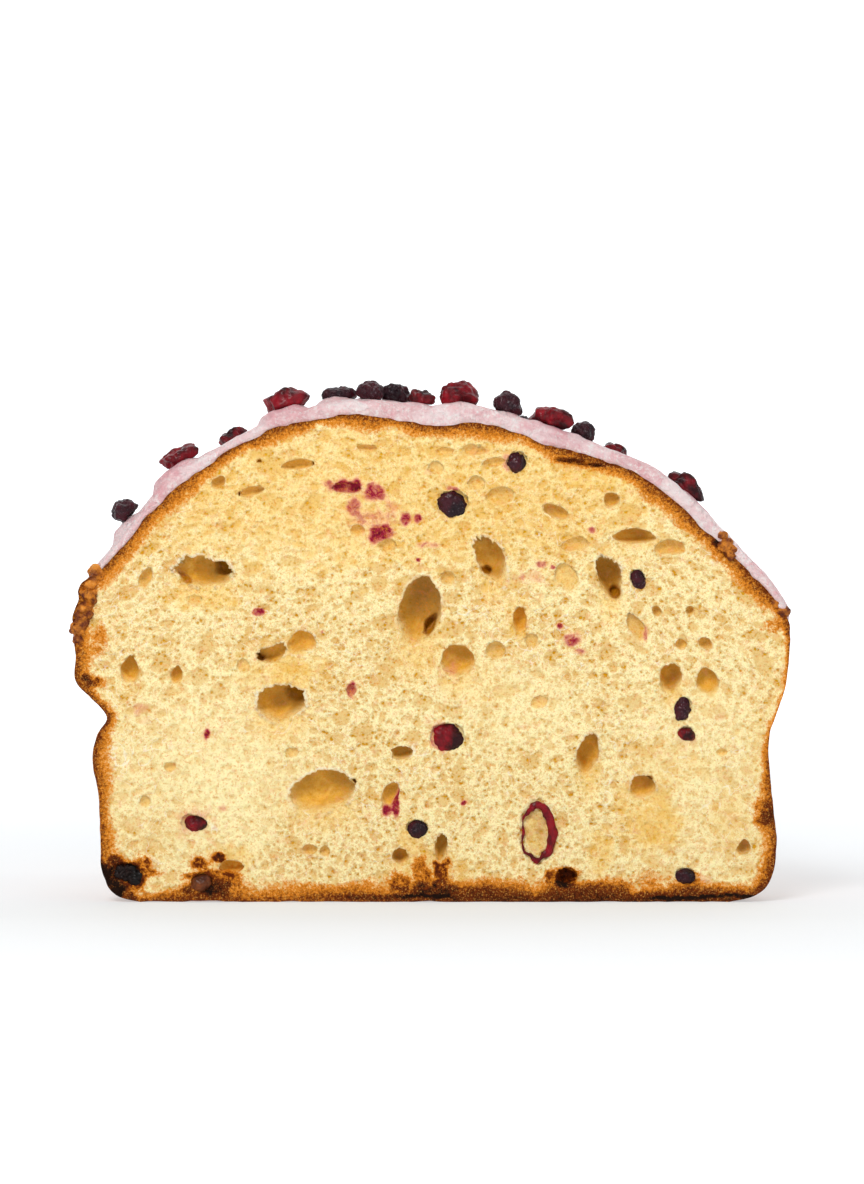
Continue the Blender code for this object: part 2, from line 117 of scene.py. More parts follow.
# The foot of the wall in plan: share of the half base, mm behind the cut
PLAN = (
    (1.000, 0.0),
    (0.992, 9.0),
    (0.972, 18.0),
    (0.922, 28.5),
    (0.835, 39.0),
    (0.745, 48.5),
    (0.702, 58.0),
    (0.700, 70.0),
    (0.728, 82.0),
    (0.742, 93.0),
    (0.712, 104.5),
    (0.612, 115.5),
    (0.440, 124.0),
    (0.225, 128.7),
    (0.000, 130.0),
)

# Where the icing ends, by side: (share of the way from the cut to the tail's end, row)
ICING_ENDS = (
    ((0.0, 12.3), (0.09, 9.3), (0.20, 10.6), (0.27, 10.0), (0.40, 11.8), (0.55, 9.5),
     (0.70, 11.4), (0.84, 9.8), (1.0, 11.0)),
    ((0.0, 11.1), (0.10, 10.0), (0.23, 11.8), (0.37, 9.6), (0.50, 11.2), (0.58, 10.6),
     (0.72, 12.0), (0.87, 10.2), (1.0, 11.0)),
)

# Bubbles that the knife opened: x, z, width, height, lean, depth, taper, torn.
# Lean turns a bubble clockwise. Taper narrows its top, or its foot if negative. Torn is how far
# its upper rim is ragged, as a share of its size.
BUBBLES = (
    (-2.7, 63.9, 9.4, 14.8, 10, 6.5, -0.05, 0.04), (6.0, 53.3, 7.5, 8.0, 0, 4.0, 0.0, 0.02),
    (-49.9, 72.7, 12.6, 6.8, 5, 4.6, -0.25, 0.16), (-33.2, 43.8, 10.2, 8.4, 0, 5.5, -0.10, 0.14),
    (-23.9, 24.3, 13.7, 8.8, -12, 4.5, 0.05, 0.06), (-34.9, 54.6, 6.6, 3.8, -20, 3.4, -0.3, 0.2),
    (-28.6, 57.4, 6.4, 4.6, -20, 2.6, 0.2, 0.12), (13.5, 75.6, 5.8, 11.0, -28, 5.0, -0.15, 0.14),
    (39.8, 71.6, 4.8, 10.2, -18, 6.0, -0.12, 0.16), (45.1, 80.9, 8.8, 3.3, 3, 4.2, 0.1, 0.08),
    (53.0, 78.2, 7.2, 3.4, 0, 2.2, 0.1, 0.02), (53.3, 49.4, 4.6, 6.6, 5, 4.4, -0.1, 0.06),
    (61.4, 48.6, 4.9, 6.2, -10, 2.8, 0.1, 0.02), (34.9, 32.0, 5.0, 9.6, 12, 4.8, -0.20, 0.06),
    (46.9, 25.4, 5.7, 5.3, 0, 3.6, 0.0, 0.12), (-66.4, 51.3, 4.0, 6.4, 0, 3.2, 0.35, 0.04),
    (-56.1, 50.2, 2.6, 4.4, 10, 2.7, 0.2, 0.03), (-6.2, 33.0, 5.1, 3.3, -10, 3.0, 0.0, 0.15),
    (-8.8, 23.4, 4.0, 6.6, 20, 2.8, 0.0, 0.05), (-29.6, 96.6, 7.1, 2.3, -6, 2.5, 0.0, 0.04),
    (-39.8, 90.6, 5.7, 2.1, -15, 2.2, 0.0, 0.04), (-46.9, 92.6, 3.6, 2.4, -40, 2.4, 0.0, 0.08),
    (-63.0, 71.6, 2.8, 4.6, 24, 2.2, 0.2, 0.05), (19.9, 62.3, 3.1, 6.6, -5, 3.2, 0.2, 0.14),
    (9.7, 99.6, 4.9, 2.3, -5, 1.8, 0.0, 0.02), (15.5, 89.6, 6.0, 4.4, 0, 1.6, 0.0, 0.02),
    (27.8, 86.2, 6.0, 2.9, 20, 2.4, 0.0, 0.04), (40.0, 88.8, 3.8, 3.5, -30, 2.6, 0.1, 0.06),
    (-6.6, 10.0, 3.6, 3.8, 0, 3.4, 0.0, 0.10), (2.4, 11.9, 2.8, 6.6, 10, 3.7, -0.1, 0.2),
    (30.4, 5.6, 5.0, 3.6, 0, 3.8, 0.0, 0.12), (69.4, 12.0, 3.1, 3.8, 0, 2.5, 0.2, 0.08),
    (45.7, 60.6, 3.4, 7.0, -25, 1.8, 0.1, 0.04), (61.0, 57.0, 3.4, 2.9, 30, 2.4, 0.0, 0.06),
    (14.4, 55.3, 4.2, 4.0, 0, 1.6, 0.0, 0.02), (-44.0, 7.6, 5.4, 3.2, 0, 3.0, 0.0, 0.10),
)
# Smaller or shallower ones that the solid leaves out, with the same columns
SHALLOW_BUBBLES = (
    (-18.4, 91.4, 6.4, 2.6, 4, 1.8, 0.0, 0.10), (-16.0, 82.2, 3.4, 2.6, 0, 1.6, 0.0, 0.10),
    (32.0, 78.9, 6.2, 3.2, -15, 1.6, 0.0, 0.02), (50.2, 64.1, 2.2, 2.6, 0, 2.2, 0.0, 0.02),
    (57.5, 64.3, 1.8, 2.4, 0, 2.2, 0.0, 0.02), (55.5, 56.8, 2.6, 2.6, 0, 2.0, 0.0, 0.04),
    (-26.5, 11.5, 3.2, 2.6, 0, 1.8, 0.0, 0.04), (-23.2, 11.0, 2.6, 2.6, 0, 1.6, 0.0, 0.04),
    (8.8, 99.9, 3.6, 2.6, 0, 1.2, 0.0, 0.0), (3.1, 99.5, 4.4, 1.8, -8, 1.3, 0.0, 0.0),
    (10.2, 92.4, 3.8, 3.4, 0, 1.3, 0.0, 0.0), (1.4, 95.6, 3.4, 3.2, 0, 1.1, 0.0, 0.0),
    (14.0, 97.0, 5.2, 2.2, -10, 1.6, 0.0, 0.0), (-14.0, 100.4, 5.0, 1.4, 4, 1.8, 0.0, 0.0),
    (-52.0, 66.6, 3.0, 2.4, 0, 1.4, 0.0, 0.0), (-17.5, 46.5, 2.0, 3.0, 0, 1.6, 0.0, 0.0),
    (30.2, 71.6, 4.6, 6.4, -30, 1.4, 0.1, 0.02), (22.5, 57.5, 3.2, 3.6, 0, 1.3, 0.0, 0.0),
    (-9.5, 78.5, 3.6, 3.2, 0, 1.6, 0.0, 0.02), (4.0, 71.5, 3.2, 3.0, 20, 1.6, 0.2, 0.04),
    (-41.2, 52.0, 3.2, 3.2, 0, 1.2, 0.2, 0.0), (-57.5, 29.6, 2.6, 2.4, 0, 1.2, 0.0, 0.0),
    (64.5, 33.0, 2.6, 2.0, 0, 1.2, 0.0, 0.0), (24.0, 44.0, 4.2, 3.0, -20, 1.2, 0.0, 0.0),
    (-30.5, 33.0, 3.0, 2.4, 0, 1.2, 0.0, 0.0), (-63.0, 22.0, 2.4, 2.6, 0, 1.2, 0.0, 0.0),
)
# Holes from a bubble into the one behind it: x, z, width, height, lean, extra depth
INNER_HOLES = (
    (-0.3, 61.2, 2.6, 4.8, 8, 4.0), (12.6, 73.6, 2.4, 2.2, 0, 3.0), (-47.0, 73.8, 3.6, 2.6, 0, 2.5),
    (-53.6, 71.6, 3.0, 3.0, 0, 1.2), (-17.0, 26.6, 1.5, 1.5, 0, 2.0), (-37.2, 54.2, 2.0, 1.8, 0, 2.5),
    (-31.0, 45.4, 3.6, 2.8, 20, 1.6), (41.0, 68.8, 2.4, 3.2, -20, 2.5), (48.4, 27.2, 1.8, 1.6, 0, 2.5),
    (33.0, 97.1, 11.0, 1.0, 9, 1.5), (-37.8, 97.5, 1.2, 0.8, 0, 1.5), (-26.5, 97.0, 1.6, 0.8, 0, 1.6),
    (-42.0, 90.2, 0.8, 0.8, 0, 1.6),
)
# Fruit in the cut, whose pockets the crumb leaves open: node, x, z, width, height, lean, depth
FRUIT_POCKETS = (
    ("crumb_currant_1", 4.9, 87.7, 7.3, 7.0, 0, 6.0),
    ("crumb_currant_2", 19.2, 97.0, 4.6, 5.2, 0, 4.5),
    ("crumb_currant_3", 56.0, 42.6, 4.0, 6.2, 8, 4.5),
    ("crumb_currant_4", -2.7, 15.9, 4.9, 4.5, 0, 4.0),
    ("crumb_currant_5", 46.0, 71.2, 3.3, 4.7, -25, 3.5),
    ("crumb_currant_6", 56.4, 5.6, 5.0, 3.8, 0, 4.0),
    ("crumb_cranberry_1", 4.0, 36.2, 7.8, 7.4, 0, 5.5),
    ("crumb_cranberry_2", 56.8, 37.0, 4.4, 3.2, 20, 3.5),
    ("crumb_cranberry_3", -51.9, 17.2, 6.2, 4.6, 10, 4.5),
    ("burnt_currant", -67.0, 6.0, 8.0, 5.4, 20, 5.0),
    ("baked_raisin", -50.6, 4.2, 5.6, 4.6, -20, 4.5),
)
SKIN_RING = (23.6, 15.4, 6.4, 12.4, 1.9)  # x, z, width, height, thickness
# Crags of browned dough on the lips of the cut: x, mm behind the cut, z, radius
LIP_CRAGS = (
    (-74.0, 0.9, 72.6, 1.7), (-73.2, 3.0, 71.6, 1.9), (-74.9, 0.7, 70.2, 1.8), (-75.3, 3.2, 68.6, 2.2),
    (-75.5, 0.6, 67.6, 1.8), (-76.4, 1.0, 65.2, 1.8), (-76.3, 3.6, 64.4, 2.1), (-77.0, 0.8, 62.6, 1.8),
    (-77.7, 1.6, 60.2, 1.7), (-77.9, 0.9, 57.8, 1.2), (-74.4, 0.5, 68.6, 1.2), (-75.6, 0.4, 63.4, 1.1),
    (65.1, 0.1, 79.0, 1.6), (66.6, 0.4, 77.4, 1.5), (64.6, 0.1, 80.9, 1.2), (76.6, 0.7, 66.2, 1.3),
    (78.2, 0.9, 64.2, 1.3),
)

# Juice that the fruit left in the crumb: x, z, width, height, strength
JUICE = (
    (-18.6, 92.0, 9.0, 3.4, 1.0), (-12.5, 90.6, 5.0, 4.0, 0.9), (-16.6, 87.6, 3.4, 4.6, 0.7),
    (-11.0, 81.5, 5.6, 4.4, 1.0), (-13.5, 84.5, 8.0, 5.0, 0.5), (-5.4, 84.6, 2.2, 3.4, 1.0),
    (-2.6, 84.8, 1.8, 2.4, 1.0), (-8.5, 86.0, 3.0, 7.0, 0.45), (0.0, 78.8, 6.0, 1.6, 0.45),
    (-38.0, 64.1, 2.4, 1.9, 1.3), (-49.3, 37.3, 1.9, 3.2, 1.3), (-17.2, 46.9, 2.0, 3.6, 0.8),
    (35.8, 82.2, 2.0, 2.0, 0.9), (-23.9, 59.7, 0.9, 0.9, 1.2), (31.4, 58.2, 3.4, 3.0, 0.8),
    (33.0, 55.4, 3.0, 2.2, 0.8), (28.8, 61.0, 1.6, 1.3, 1.2), (24.5, 74.6, 3.0, 1.6, 0.6),
    (22.0, 72.0, 6.0, 3.4, 0.35), (27.0, 74.0, 1.4, 1.0, 1.1), (47.5, 59.0, 1.3, 4.0, 0.7),
    (-7.6, 22.0, 1.8, 6.4, 1.3), (-9.4, 20.4, 2.2, 3.0, 1.0), (-63.8, 42.0, 4.4, 6.0, 0.28),
    (4.6, 51.2, 3.4, 3.4, 0.45), (-2.5, 75.6, 1.0, 0.8, 1.0), (4.9, 91.2, 3.6, 1.6, 0.8),
    (17.0, 97.2, 2.4, 4.0, 0.6), (7.4, 21.8, 1.6, 1.4, 1.1), (2.2, 36.6, 4.0, 6.8, 0.6),
    (56.6, 36.6, 5.0, 4.4, 0.25), (-51.8, 18.0, 8.0, 6.0, 0.35), (22.6, 15.4, 4.8, 11.0, 0.12),
    (-46.0, 20.6, 1.6, 2.0, 0.4), (69.0, 77.0, 1.8, 1.6, 0.6), (60.5, 5.0, 4.0, 2.8, 0.3),
)
# Yolk and butter tints of the crumb, from yellow to orange: x, z, width, height, strength
GOLD = (
    (-33.0, 51.0, 17.0, 9.0, 0.55), (-34.0, 40.0, 12.0, 5.0, 0.5), (-50.0, 67.5, 16.0, 5.0, 0.9),
    (36.0, 93.6, 13.0, 5.0, 1.4), (50.0, 16.5, 9.0, 8.0, 1.4), (-30.0, 50.5, 13.0, 7.0, 1.0),
    (43.0, 88.5, 8.0, 4.0, 0.6), (48.0, 19.5, 12.0, 16.0, 0.75),
    (52.0, 15.0, 5.0, 6.0, 1.0), (37.4, 10.5, 5.0, 10.0, 0.8), (32.0, 79.5, 7.0, 6.0, 0.5),
    (19.0, 64.0, 5.0, 9.0, 0.5), (52.0, 30.0, 16.0, 9.0, 0.3), (0.0, 8.0, 16.0, 7.0, 0.7),
    (-4.0, 13.0, 5.0, 9.0, 0.8), (-44.0, 9.0, 10.0, 6.0, 0.7), (66.0, 18.0, 9.0, 12.0, 0.35),
    (-5.0, 90.0, 108.0, 30.0, 0.75), (-18.4, 91.2, 5.6, 2.4, 1.0), (-16.0, 82.0, 3.0, 2.4, 1.0),
    (-52.6, 71.8, 5.0, 5.0, 1.2), (-29.0, 57.2, 6.0, 4.6, 1.2), (-36.0, 44.0, 5.0, 6.0, 0.9),
    (19.9, 61.6, 3.6, 6.6, 1.4), (35.0, 30.5, 4.0, 5.0, 0.7), (46.4, 24.4, 4.0, 3.6, 0.8),
    (-66.4, 50.4, 3.6, 4.6, 0.8), (-56.1, 49.6, 2.4, 3.4, 0.8), (53.3, 50.0, 4.0, 5.0, 0.6),
    (61.4, 47.6, 4.0, 4.0, 0.8), (45.1, 81.2, 6.0, 2.4, 0.7), (12.0, 48.0, 10.0, 9.0, 0.25),
    (-56.0, 80.0, 14.0, 5.0, 0.35),
)
# Dark parts of the bubbles' walls: x, z, width, height, strength
SHADOW = (
    (-0.8, 66.6, 6.8, 10.4, 0.9), (-3.4, 64.0, 7.0, 14.0, 0.35), (-46.6, 73.4, 8.0, 5.0, 0.7),
    (-30.4, 45.2, 4.6, 7.0, 0.7),
    (40.6, 70.4, 4.4, 9.0, 0.7), (14.4, 74.2, 4.0, 8.0, 0.5), (-17.8, 26.0, 3.4, 3.6, 0.9),
    (53.8, 48.0, 3.6, 4.6, 0.7), (33.6, 33.4, 2.8, 7.0, 0.5), (-36.6, 54.0, 3.0, 3.0, 0.8),
    (47.8, 26.8, 3.0, 2.8, 0.8), (-6.0, 33.2, 4.4, 2.4, 0.7), (6.8, 55.4, 4.4, 3.6, 0.5),
    (-7.4, 9.4, 2.4, 3.0, 0.8), (2.8, 12.6, 2.0, 5.0, 0.7), (70.0, 11.6, 2.4, 3.0, 0.7),
)
# Fine, even crumb, where fewer cells are open: x, z, width, height, strength
CALM = (
    (-50.0, 27.0, 50.0, 40.0, 1.0), (60.0, 27.0, 34.0, 46.0, 0.8), (18.0, 44.0, 26.0, 22.0, 0.6),
    (-30.0, 78.0, 26.0, 14.0, 0.4),
)
# Burnt or deeply browned spots at the crust, and painted shade darkening a few holes beside it: x, z, width,
# height, strength
CHAR_AND_HOLE_SHADE = (
    (-67.5, 5.8, 12.0, 9.0, 1.0), (-48.0, 4.8, 12.0, 6.6, 0.75), (-51.5, 8.2, 3.4, 3.0, 1.0),
    (-46.6, 9.8, 3.0, 3.0, 1.0), (-44.0, 5.2, 5.0, 3.6, 0.7), (-7.0, 4.4, 6.0, 4.2, 0.6),
    (-1.6, 6.2, 4.6, 6.6, 0.6), (1.0, 2.6, 9.0, 2.6, 0.5),
    (2.6, 6.0, 4.0, 6.4, 1.0), (29.6, 5.6, 7.0, 4.6, 1.0), (63.4, 79.4, 2.8, 2.6, 0.55),
    (75.5, 61.0, 4.0, 3.0, 0.4), (-74.5, 49.0, 5.0, 3.0, 0.7),
    (30.6, 97.6, 6.0, 1.2, 0.6), (36.4, 96.6, 8.0, 0.8, 0.45), (73.5, 20.0, 4.0, 7.0, 0.5),
    (58.0, 5.4, 4.0, 3.0, 0.4), (38.0, 1.8, 64.0, 5.0, 0.20), (-73.0, 58.0, 3.0, 6.0, 0.4),
)

# How far the browning reaches in from the edge, and how dark it is, round the cut.
# The place is counted along the ring of the loaf: 0 middle of the base, 1 its left rim,
# 22 the ridge, 43 the right rim and 44 the middle of the base again.
CRUST_BAND = (
    (0.0, 5.2, 1.00), (0.5, 4.6, 0.62), (1.0, 4.2, 0.95), (3.0, 3.2, 0.60), (5.0, 3.4, 0.54),
    (7.0, 3.8, 0.84), (8.2, 1.7, 0.90), (10.0, 3.4, 0.70), (12.5, 3.8, 0.64), (16.0, 4.0, 0.70),
    (19.0, 3.8, 0.72), (22.0, 3.4, 0.78), (25.0, 3.8, 0.72), (28.0, 4.6, 0.78), (31.0, 4.2, 0.78),
    (32.3, 2.8, 0.80), (33.4, 1.4, 0.50), (35.0, 1.0, 0.25), (37.0, 1.3, 0.30), (38.5, 2.8, 0.7),
    (41.0, 4.0, 0.85), (43.0, 5.0, 1.00), (43.4, 5.4, 0.95), (44.0, 5.2, 1.00),
)

# The crumb's cells, coarse to fine: how far apart, radius, depth over radius, share of places
CRUMB_CELLS = ((6.2, 1.75, 0.34, 0.50), (3.0, 0.95, 0.46, 0.75), (1.5, 0.56, 0.50, 0.85))
POCKET_GRIP = 0.25  # the crumb's pocket grips its fruit by this much

# How each kind of fruit is dried: broad folds, fine wrinkles (mm) and the size of the folds (mm)
FRUIT_LOOKS = {
    "cranberry": (0.46, 0.30, 3.6),
    "currant": (0.50, 0.22, 2.2),
    "burnt": (0.90, 0.45, 2.0),
    "raisin": (0.40, 0.22, 2.8),
}
# How many flat sides each kind of fruit has been pressed to
FACETS = {"cranberry": 12, "currant": 4, "burnt": 5, "raisin": 2}

# The stage, in metres
CAMERA_AWAY = 0.80
PHOTO_SCALE = 0.221  # millimetres of the cut face that one pixel of the photograph covers
PHOTO_SIZE = (864, 1184)
CUT_AT_PIXEL = (430.0, 902.0)  # where the middle of the cut's foot lies in the photograph


def linear(code):
    """A linear colour from an sRGB hex code."""
    values = [int(code[i:i + 2], 16) / 255 for i in (1, 3, 5)]
    return tuple(v / 12.92 if v <= 0.04045 else ((v + 0.055) / 1.055) ** 2.4 for v in values)


def colour_property(name, code, description):
    """A colour of the cake, given as an sRGB hex code."""
    return bpy.props.FloatVectorProperty(
        name=name, description=description, default=linear(code), size=3, min=0.0, max=1.0,
        subtype="COLOR")


def length_property(name, default, description):
    """A length of the cake, given in millimetres."""
    return bpy.props.FloatProperty(
        name=name, description=description, default=default * MM, min=0.0, precision=5,
        unit="LENGTH", subtype="DISTANCE")


class ColombaSettings(bpy.types.PropertyGroup):
    crumb: colour_property("Crumb", "#FDF0B8", "Cell walls of the crumb, where the light falls")
    # The hollow colour is painted shade: the darker gold laid in the cells' hollows and pits
    hollow_shade: colour_property("Hollow", "#CE920E", "Crumb in the hollows of its cells")
    bubble: colour_property("Bubble", "#F0BA30", "Smooth wall of a large bubble")
    gold: colour_property("Gold", "#EDB634", "Yolk and butter tint of the crumb")
    juice: colour_property("Juice", "#A8213C", "Juice that the fruit left in the crumb")
    crust: colour_property("Crust", "#DA8420", "Browned crust")
    crust_dark: colour_property("Dark crust", "#6A2A04", "Deeply browned crust")
    char: colour_property("Char", "#1E0D05", "Burnt crust and fruit")
    icing: colour_property("Icing", "#EEC4C5", "Sugar icing tinted with berry juice")
    cranberry: colour_property("Cranberry", "#8E0C1C", "Dried cranberry, thin parts")
    cranberry_dark: colour_property("Dark cranberry", "#2C0408", "Dried cranberry, thick parts")
    currant: colour_property("Currant", "#1E0A12", "Dried currant skin")
    bloom: colour_property("Bloom", "#8E7C84", "Pale bloom on dried fruit")
    raisin: colour_property("Raisin", "#8A4A22", "Raisin baked into the crust")
    floor: colour_property("Floor", "#BCBDBF", "Floor and backdrop")
    spacing: length_property("Crumb spacing", 0.415, "Distance between points of the cut face")
    icing_thickness: length_property("Icing thickness", 2.6, "Thickness of the icing on the dome")
    cell: length_property("Fine cell", 0.62, "Size of the finest cells, which are bump only")


def smooth(t):
    """A soft step from 0 to 1."""
    t = np.clip(t, 0.0, 1.0)
    return t * t * (3 - 2 * t)


def catmull_rom(points, at):
    """The smooth curve through the points, at a fractional index."""
    last = len(points) - 1
    i = min(int(at), last - 1)
    t = at - i
    p0, p1 = points[max(i - 1, 0)], points[i]
    p2, p3 = points[i + 1], points[min(i + 2, last)]
    return tuple(
        0.5 * (2 * b + (c - a) * t + (2 * a - 5 * b + 4 * c - d) * t * t
               + (3 * b - a - 3 * c + d) * t ** 3)
        for a, b, c, d in zip(p0, p1, p2, p3)
    )


def lattice(corner, seed):
    """A random number from 0 to 1 for each row of whole numbers, always the same one."""
    mixed = np.full(corner.shape[:-1], seed * 974711 + 12345, np.int64)
    for axis, prime in zip(range(corner.shape[-1]), (374761393, 668265263, 1442695041)):
        mixed = (mixed ^ (corner[..., axis] * prime)) & 0xFFFFFFFF
        mixed = ((mixed ^ (mixed >> 15)) * 2246822519) & 0xFFFFFFFF
        mixed ^= mixed >> 13
    return (mixed & 0xFFFFF) / float(0xFFFFF)


def waves(points, size, seed):
    """Smooth noise from -1 to 1 with swells of the given size."""
    at = points / size
    corner = np.floor(at).astype(np.int64)
    part = smooth(at - corner)
    axes = points.shape[-1]
    total = np.zeros(points.shape[:-1])
    for bits in range(2 ** axes):
        step = np.array([(bits >> axis) & 1 for axis in range(axes)])
        weight = np.prod(np.where(step == 1, part, 1 - part), axis=-1)
        total += weight * lattice(corner + step, seed)
    return total * 2 - 1


def rough(points, size, seed, octaves=3):
    """Noise with finer and finer detail, from about -1 to 1."""
    total = sum(waves(points, size / 2 ** i, seed + 17 * i) / 2 ** i for i in range(octaves))
    return total / 1.6


def cells(points, pitch, radius, presence, seed):
    """How far each point is from the nearest cell's middle, in radii of that cell, and its radius."""
    corner = np.floor(points / pitch).astype(np.int64)
    near = np.full(len(points), 9.0)
    size = np.full(len(points), radius)
    for dx in (-1, 0, 1):
        for dz in (-1, 0, 1):
            square = corner + (dx, dz)
            jitter = np.stack([lattice(square, seed), lattice(square, seed + 1)], axis=-1)
            own = radius * (0.55 + 0.75 * lattice(square, seed + 2) ** 1.5)
            own = np.where(lattice(square, seed + 3) < presence, own, 1e-3)
            away = (square + 0.1 + 0.8 * jitter) * pitch - points
            squash = 0.82 + 0.32 * lattice(square, seed + 4)
            distance = np.hypot(away[:, 0] * squash, away[:, 1] / squash) / own
            closer = distance < near
            near = np.where(closer, distance, near)
            size = np.where(closer, own, size)
    return near, size


def section_curve(side):
    """The section drawn as a smooth curve: fractional rows, widths over the half base, heights."""
    points = [(row[2 * side] / HALF_BASE[side], row[2 * side + 1]) for row in SECTION]
    rows = np.linspace(0, RIDGE_ROW, 16 * RIDGE_ROW + 1)
    curve = np.array([catmull_rom(points, row) for row in rows])
    return rows, curve[:, 0], curve[:, 1]


def plan_curve():
    """The foot of the wall: shares of the way to the tail's end, plan shares and mm behind."""
    fine = np.array([catmull_rom(PLAN, (len(PLAN) - 1) * i / 400) for i in range(401)])
    steps = np.hypot(np.diff(fine[:, 0]) * sum(HALF_BASE) / 2, np.diff(fine[:, 1]))
    walked = np.concatenate([[0.0], np.cumsum(steps)])
    return walked / walked[-1], fine[:, 0], fine[:, 1]


SECTION_CURVES = (section_curve(0), section_curve(1))
PLAN_CURVE = plan_curve()
# From the cake's own axes to the frame: the loaf's box gives the cut, the floor and its left side
LOAF_LOW, LOAF_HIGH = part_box("loaf")
PLACE = np.array([LOAF_LOW.x / MM + max(row[0] for row in SECTION), LOAF_LOW.y / MM, 0.0])


def section_at(side, row, share):
    """The section's width over the half base and its height, grown alike towards the tail."""
    blend = smooth(share * 1.4) * 0.5
    found = []
    for axis in (1, 2):
        own = np.interp(row, SECTION_CURVES[side][0], SECTION_CURVES[side][axis])
        other = np.interp(row, SECTION_CURVES[1 - side][0], SECTION_CURVES[1 - side][axis])
        found.append(own + (other - own) * blend)
    return found


def spine(share):
    """How far behind the cut the ridge lies, in mm, at a share of the way to the tail's end."""
    return SPINE_LENGTH * (1 - (1 - share) ** SPINE_EASE)


def bumps(points):
    """The lumps and blisters of the CAD part's crust."""
    metres = points * MM
    broad = np.array([noise.noise(Vector(p) / (24 * MM) + Vector((3.1, 0.0, 1.7))) for p in metres])
    small = np.array([noise.noise(Vector(p) / (9 * MM) + Vector((0.0, 8.3, 2.2))) for p in metres])
    calm = smooth(points[:, 1] / CALM_DEPTH) * smooth((points[:, 2] - 2) / 10)
    return (LUMP * broad + BLISTER * small) * calm


def skin(side, row, share, lift=0.0):
    """Points of the loaf's skin and the ways out of it. Side is 0 left, 1 right; all are arrays."""
    out, z = section_at(side, row, share)
    rim_z = section_at(side, np.full_like(row, RIM_ROW), share)[1]
    z = np.where(z > rim_z, rim_z + (z - rim_z) * (1 - TAIL_DROP * smooth(share)), z)
    foot_x = (-1, 1)[side] * HALF_BASE[side] * np.interp(share, PLAN_CURVE[0], PLAN_CURVE[1])
    foot_y = np.interp(share, PLAN_CURVE[0], PLAN_CURVE[2])
    ridge_y = spine(share)
    points = np.stack([foot_x * out, ridge_y + (foot_y - ridge_y) * out, z], axis=-1)
    core = np.stack([np.zeros_like(ridge_y), ridge_y, np.full_like(ridge_y, CORE_HEIGHT)], axis=-1)
    way = points - core
    way /= np.linalg.norm(way, axis=-1, keepdims=True)
    return points + way * (bumps(points) + lift)[:, None], way


def ring_places(wall_steps, base_steps):
    """Places round the loaf, even along the mean section, the same on the left and the right."""
    rows = SECTION_CURVES[0][0]
    x = (SECTION_CURVES[0][1] * HALF_BASE[0] + SECTION_CURVES[1][1] * HALF_BASE[1]) / 2
    z = (SECTION_CURVES[0][2] + SECTION_CURVES[1][2]) / 2
    walked = np.concatenate([[0.0], np.cumsum(np.hypot(np.diff(x), np.diff(z)))])
    wall = np.interp(np.linspace(0, walked[-1], wall_steps + 1), walked, rows)
    base = np.linspace(0, 1, base_steps + 1)[:-1]
    left = np.concatenate([base, 1 + wall])
    return np.concatenate([left, RING_END - left[-2:0:-1]])


def ring_points(place, share):
    """Skin points for places round the loaf (see CRUST_BAND) and shares towards the tail."""
    left = place < RING_END / 2
    turned = np.where(left, place, RING_END - place)
    row = np.maximum(turned - 1, 0.0)
    on_base = turned < 1
    points = np.zeros((len(place), 3))
    ways = np.zeros((len(place), 3))
    for side, chosen in ((0, left), (1, ~left)):
        at, way = skin(side, row[chosen], share[chosen])
        middle = np.stack([np.zeros(len(at)), spine(share[chosen]), np.zeros(len(at))], axis=-1)
        inner = np.minimum(turned[chosen], 1.0)[:, None]
        flat = on_base[chosen][:, None]
        points[chosen] = np.where(flat, middle + (at - middle) * inner, at)
        ways[chosen] = np.where(flat, (0.0, 0.0, 1.0), way)
    return points, ways, on_base


def crust_relief(points, on_base, share):
    """The skin's own relief: blisters, fine wrinkles, the flutes of the paper mould, the base."""
    z = points[:, 2]
    wall = smooth((z - 1) / 4) * (1 - smooth((z - 36) / 4))
    dome = smooth((z - 40) / 5)
    round_the_wall = np.arctan2(points[:, 0], points[:, 1] - 60) * 62
    flutes = np.sin(round_the_wall * 2 * np.pi / 3.4 + 0.8 * waves(points, 9.0, 3))
    relief = wall * (0.20 * flutes + 0.22 * rough(points, 6.0, 5) + 0.10 * waves(points, 1.6, 6))
    relief = relief + dome * (0.30 * rough(points, 7.0, 7) + 0.14 * waves(points, 1.7, 8))
    left_lip = smooth((-points[:, 0] - 66) / 6) * np.exp(-points[:, 1] / 14)
    lumps = 0.9 + 0.9 * waves(points, 3.6, 11) + 0.75 * waves(points, 1.9, 12)
    crags = np.exp(-((z - 67) / 7.5) ** 2) * lumps + np.exp(-((z - 49) / 3.5) ** 2)
    relief = relief + left_lip * crags
    base = 0.35 * smooth(0.4 + rough(points, 5.0, 9)) + 0.12 * smooth(waves(points, 1.5, 10))
    return np.where(on_base, base * smooth((share + 0.01) * 60), relief)


def crust_grid():
    """The loaf's skin as a grid of points, hoop by hoop, with each point's place in the ring."""
    place = ring_places(WALL_STEPS, BASE_STEPS)
    shares = np.linspace(0, 1, SKIN_HOOPS) ** SKIN_CROWDING
    all_places = np.tile(place, len(shares))
    all_shares = np.repeat(shares, len(place))
    points, ways, on_base = ring_points(all_places, all_shares)
    relief = crust_relief(points, on_base, all_shares)
    tail = all_shares > 0.999
    ways[tail, 0] = 0.0
    points = points + ways * relief[:, None]
    points[:, 2] = np.maximum(points[:, 2], 0.0)
    points[all_shares == 0, 1] = 0.0
    return place, shares, points


def grid_faces(columns, hoops, closed):
    """Quads of a grid stored hoop by hoop, closed into a tube or left open."""
    column = np.arange(columns if closed else columns - 1)
    following = (column + 1) % columns
    hoop = np.arange(hoops - 1)[:, None] * columns
    quads = np.stack([hoop + column, hoop + following, hoop + columns + following,
                      hoop + columns + column], axis=-1)
    return quads.reshape(-1, 4)


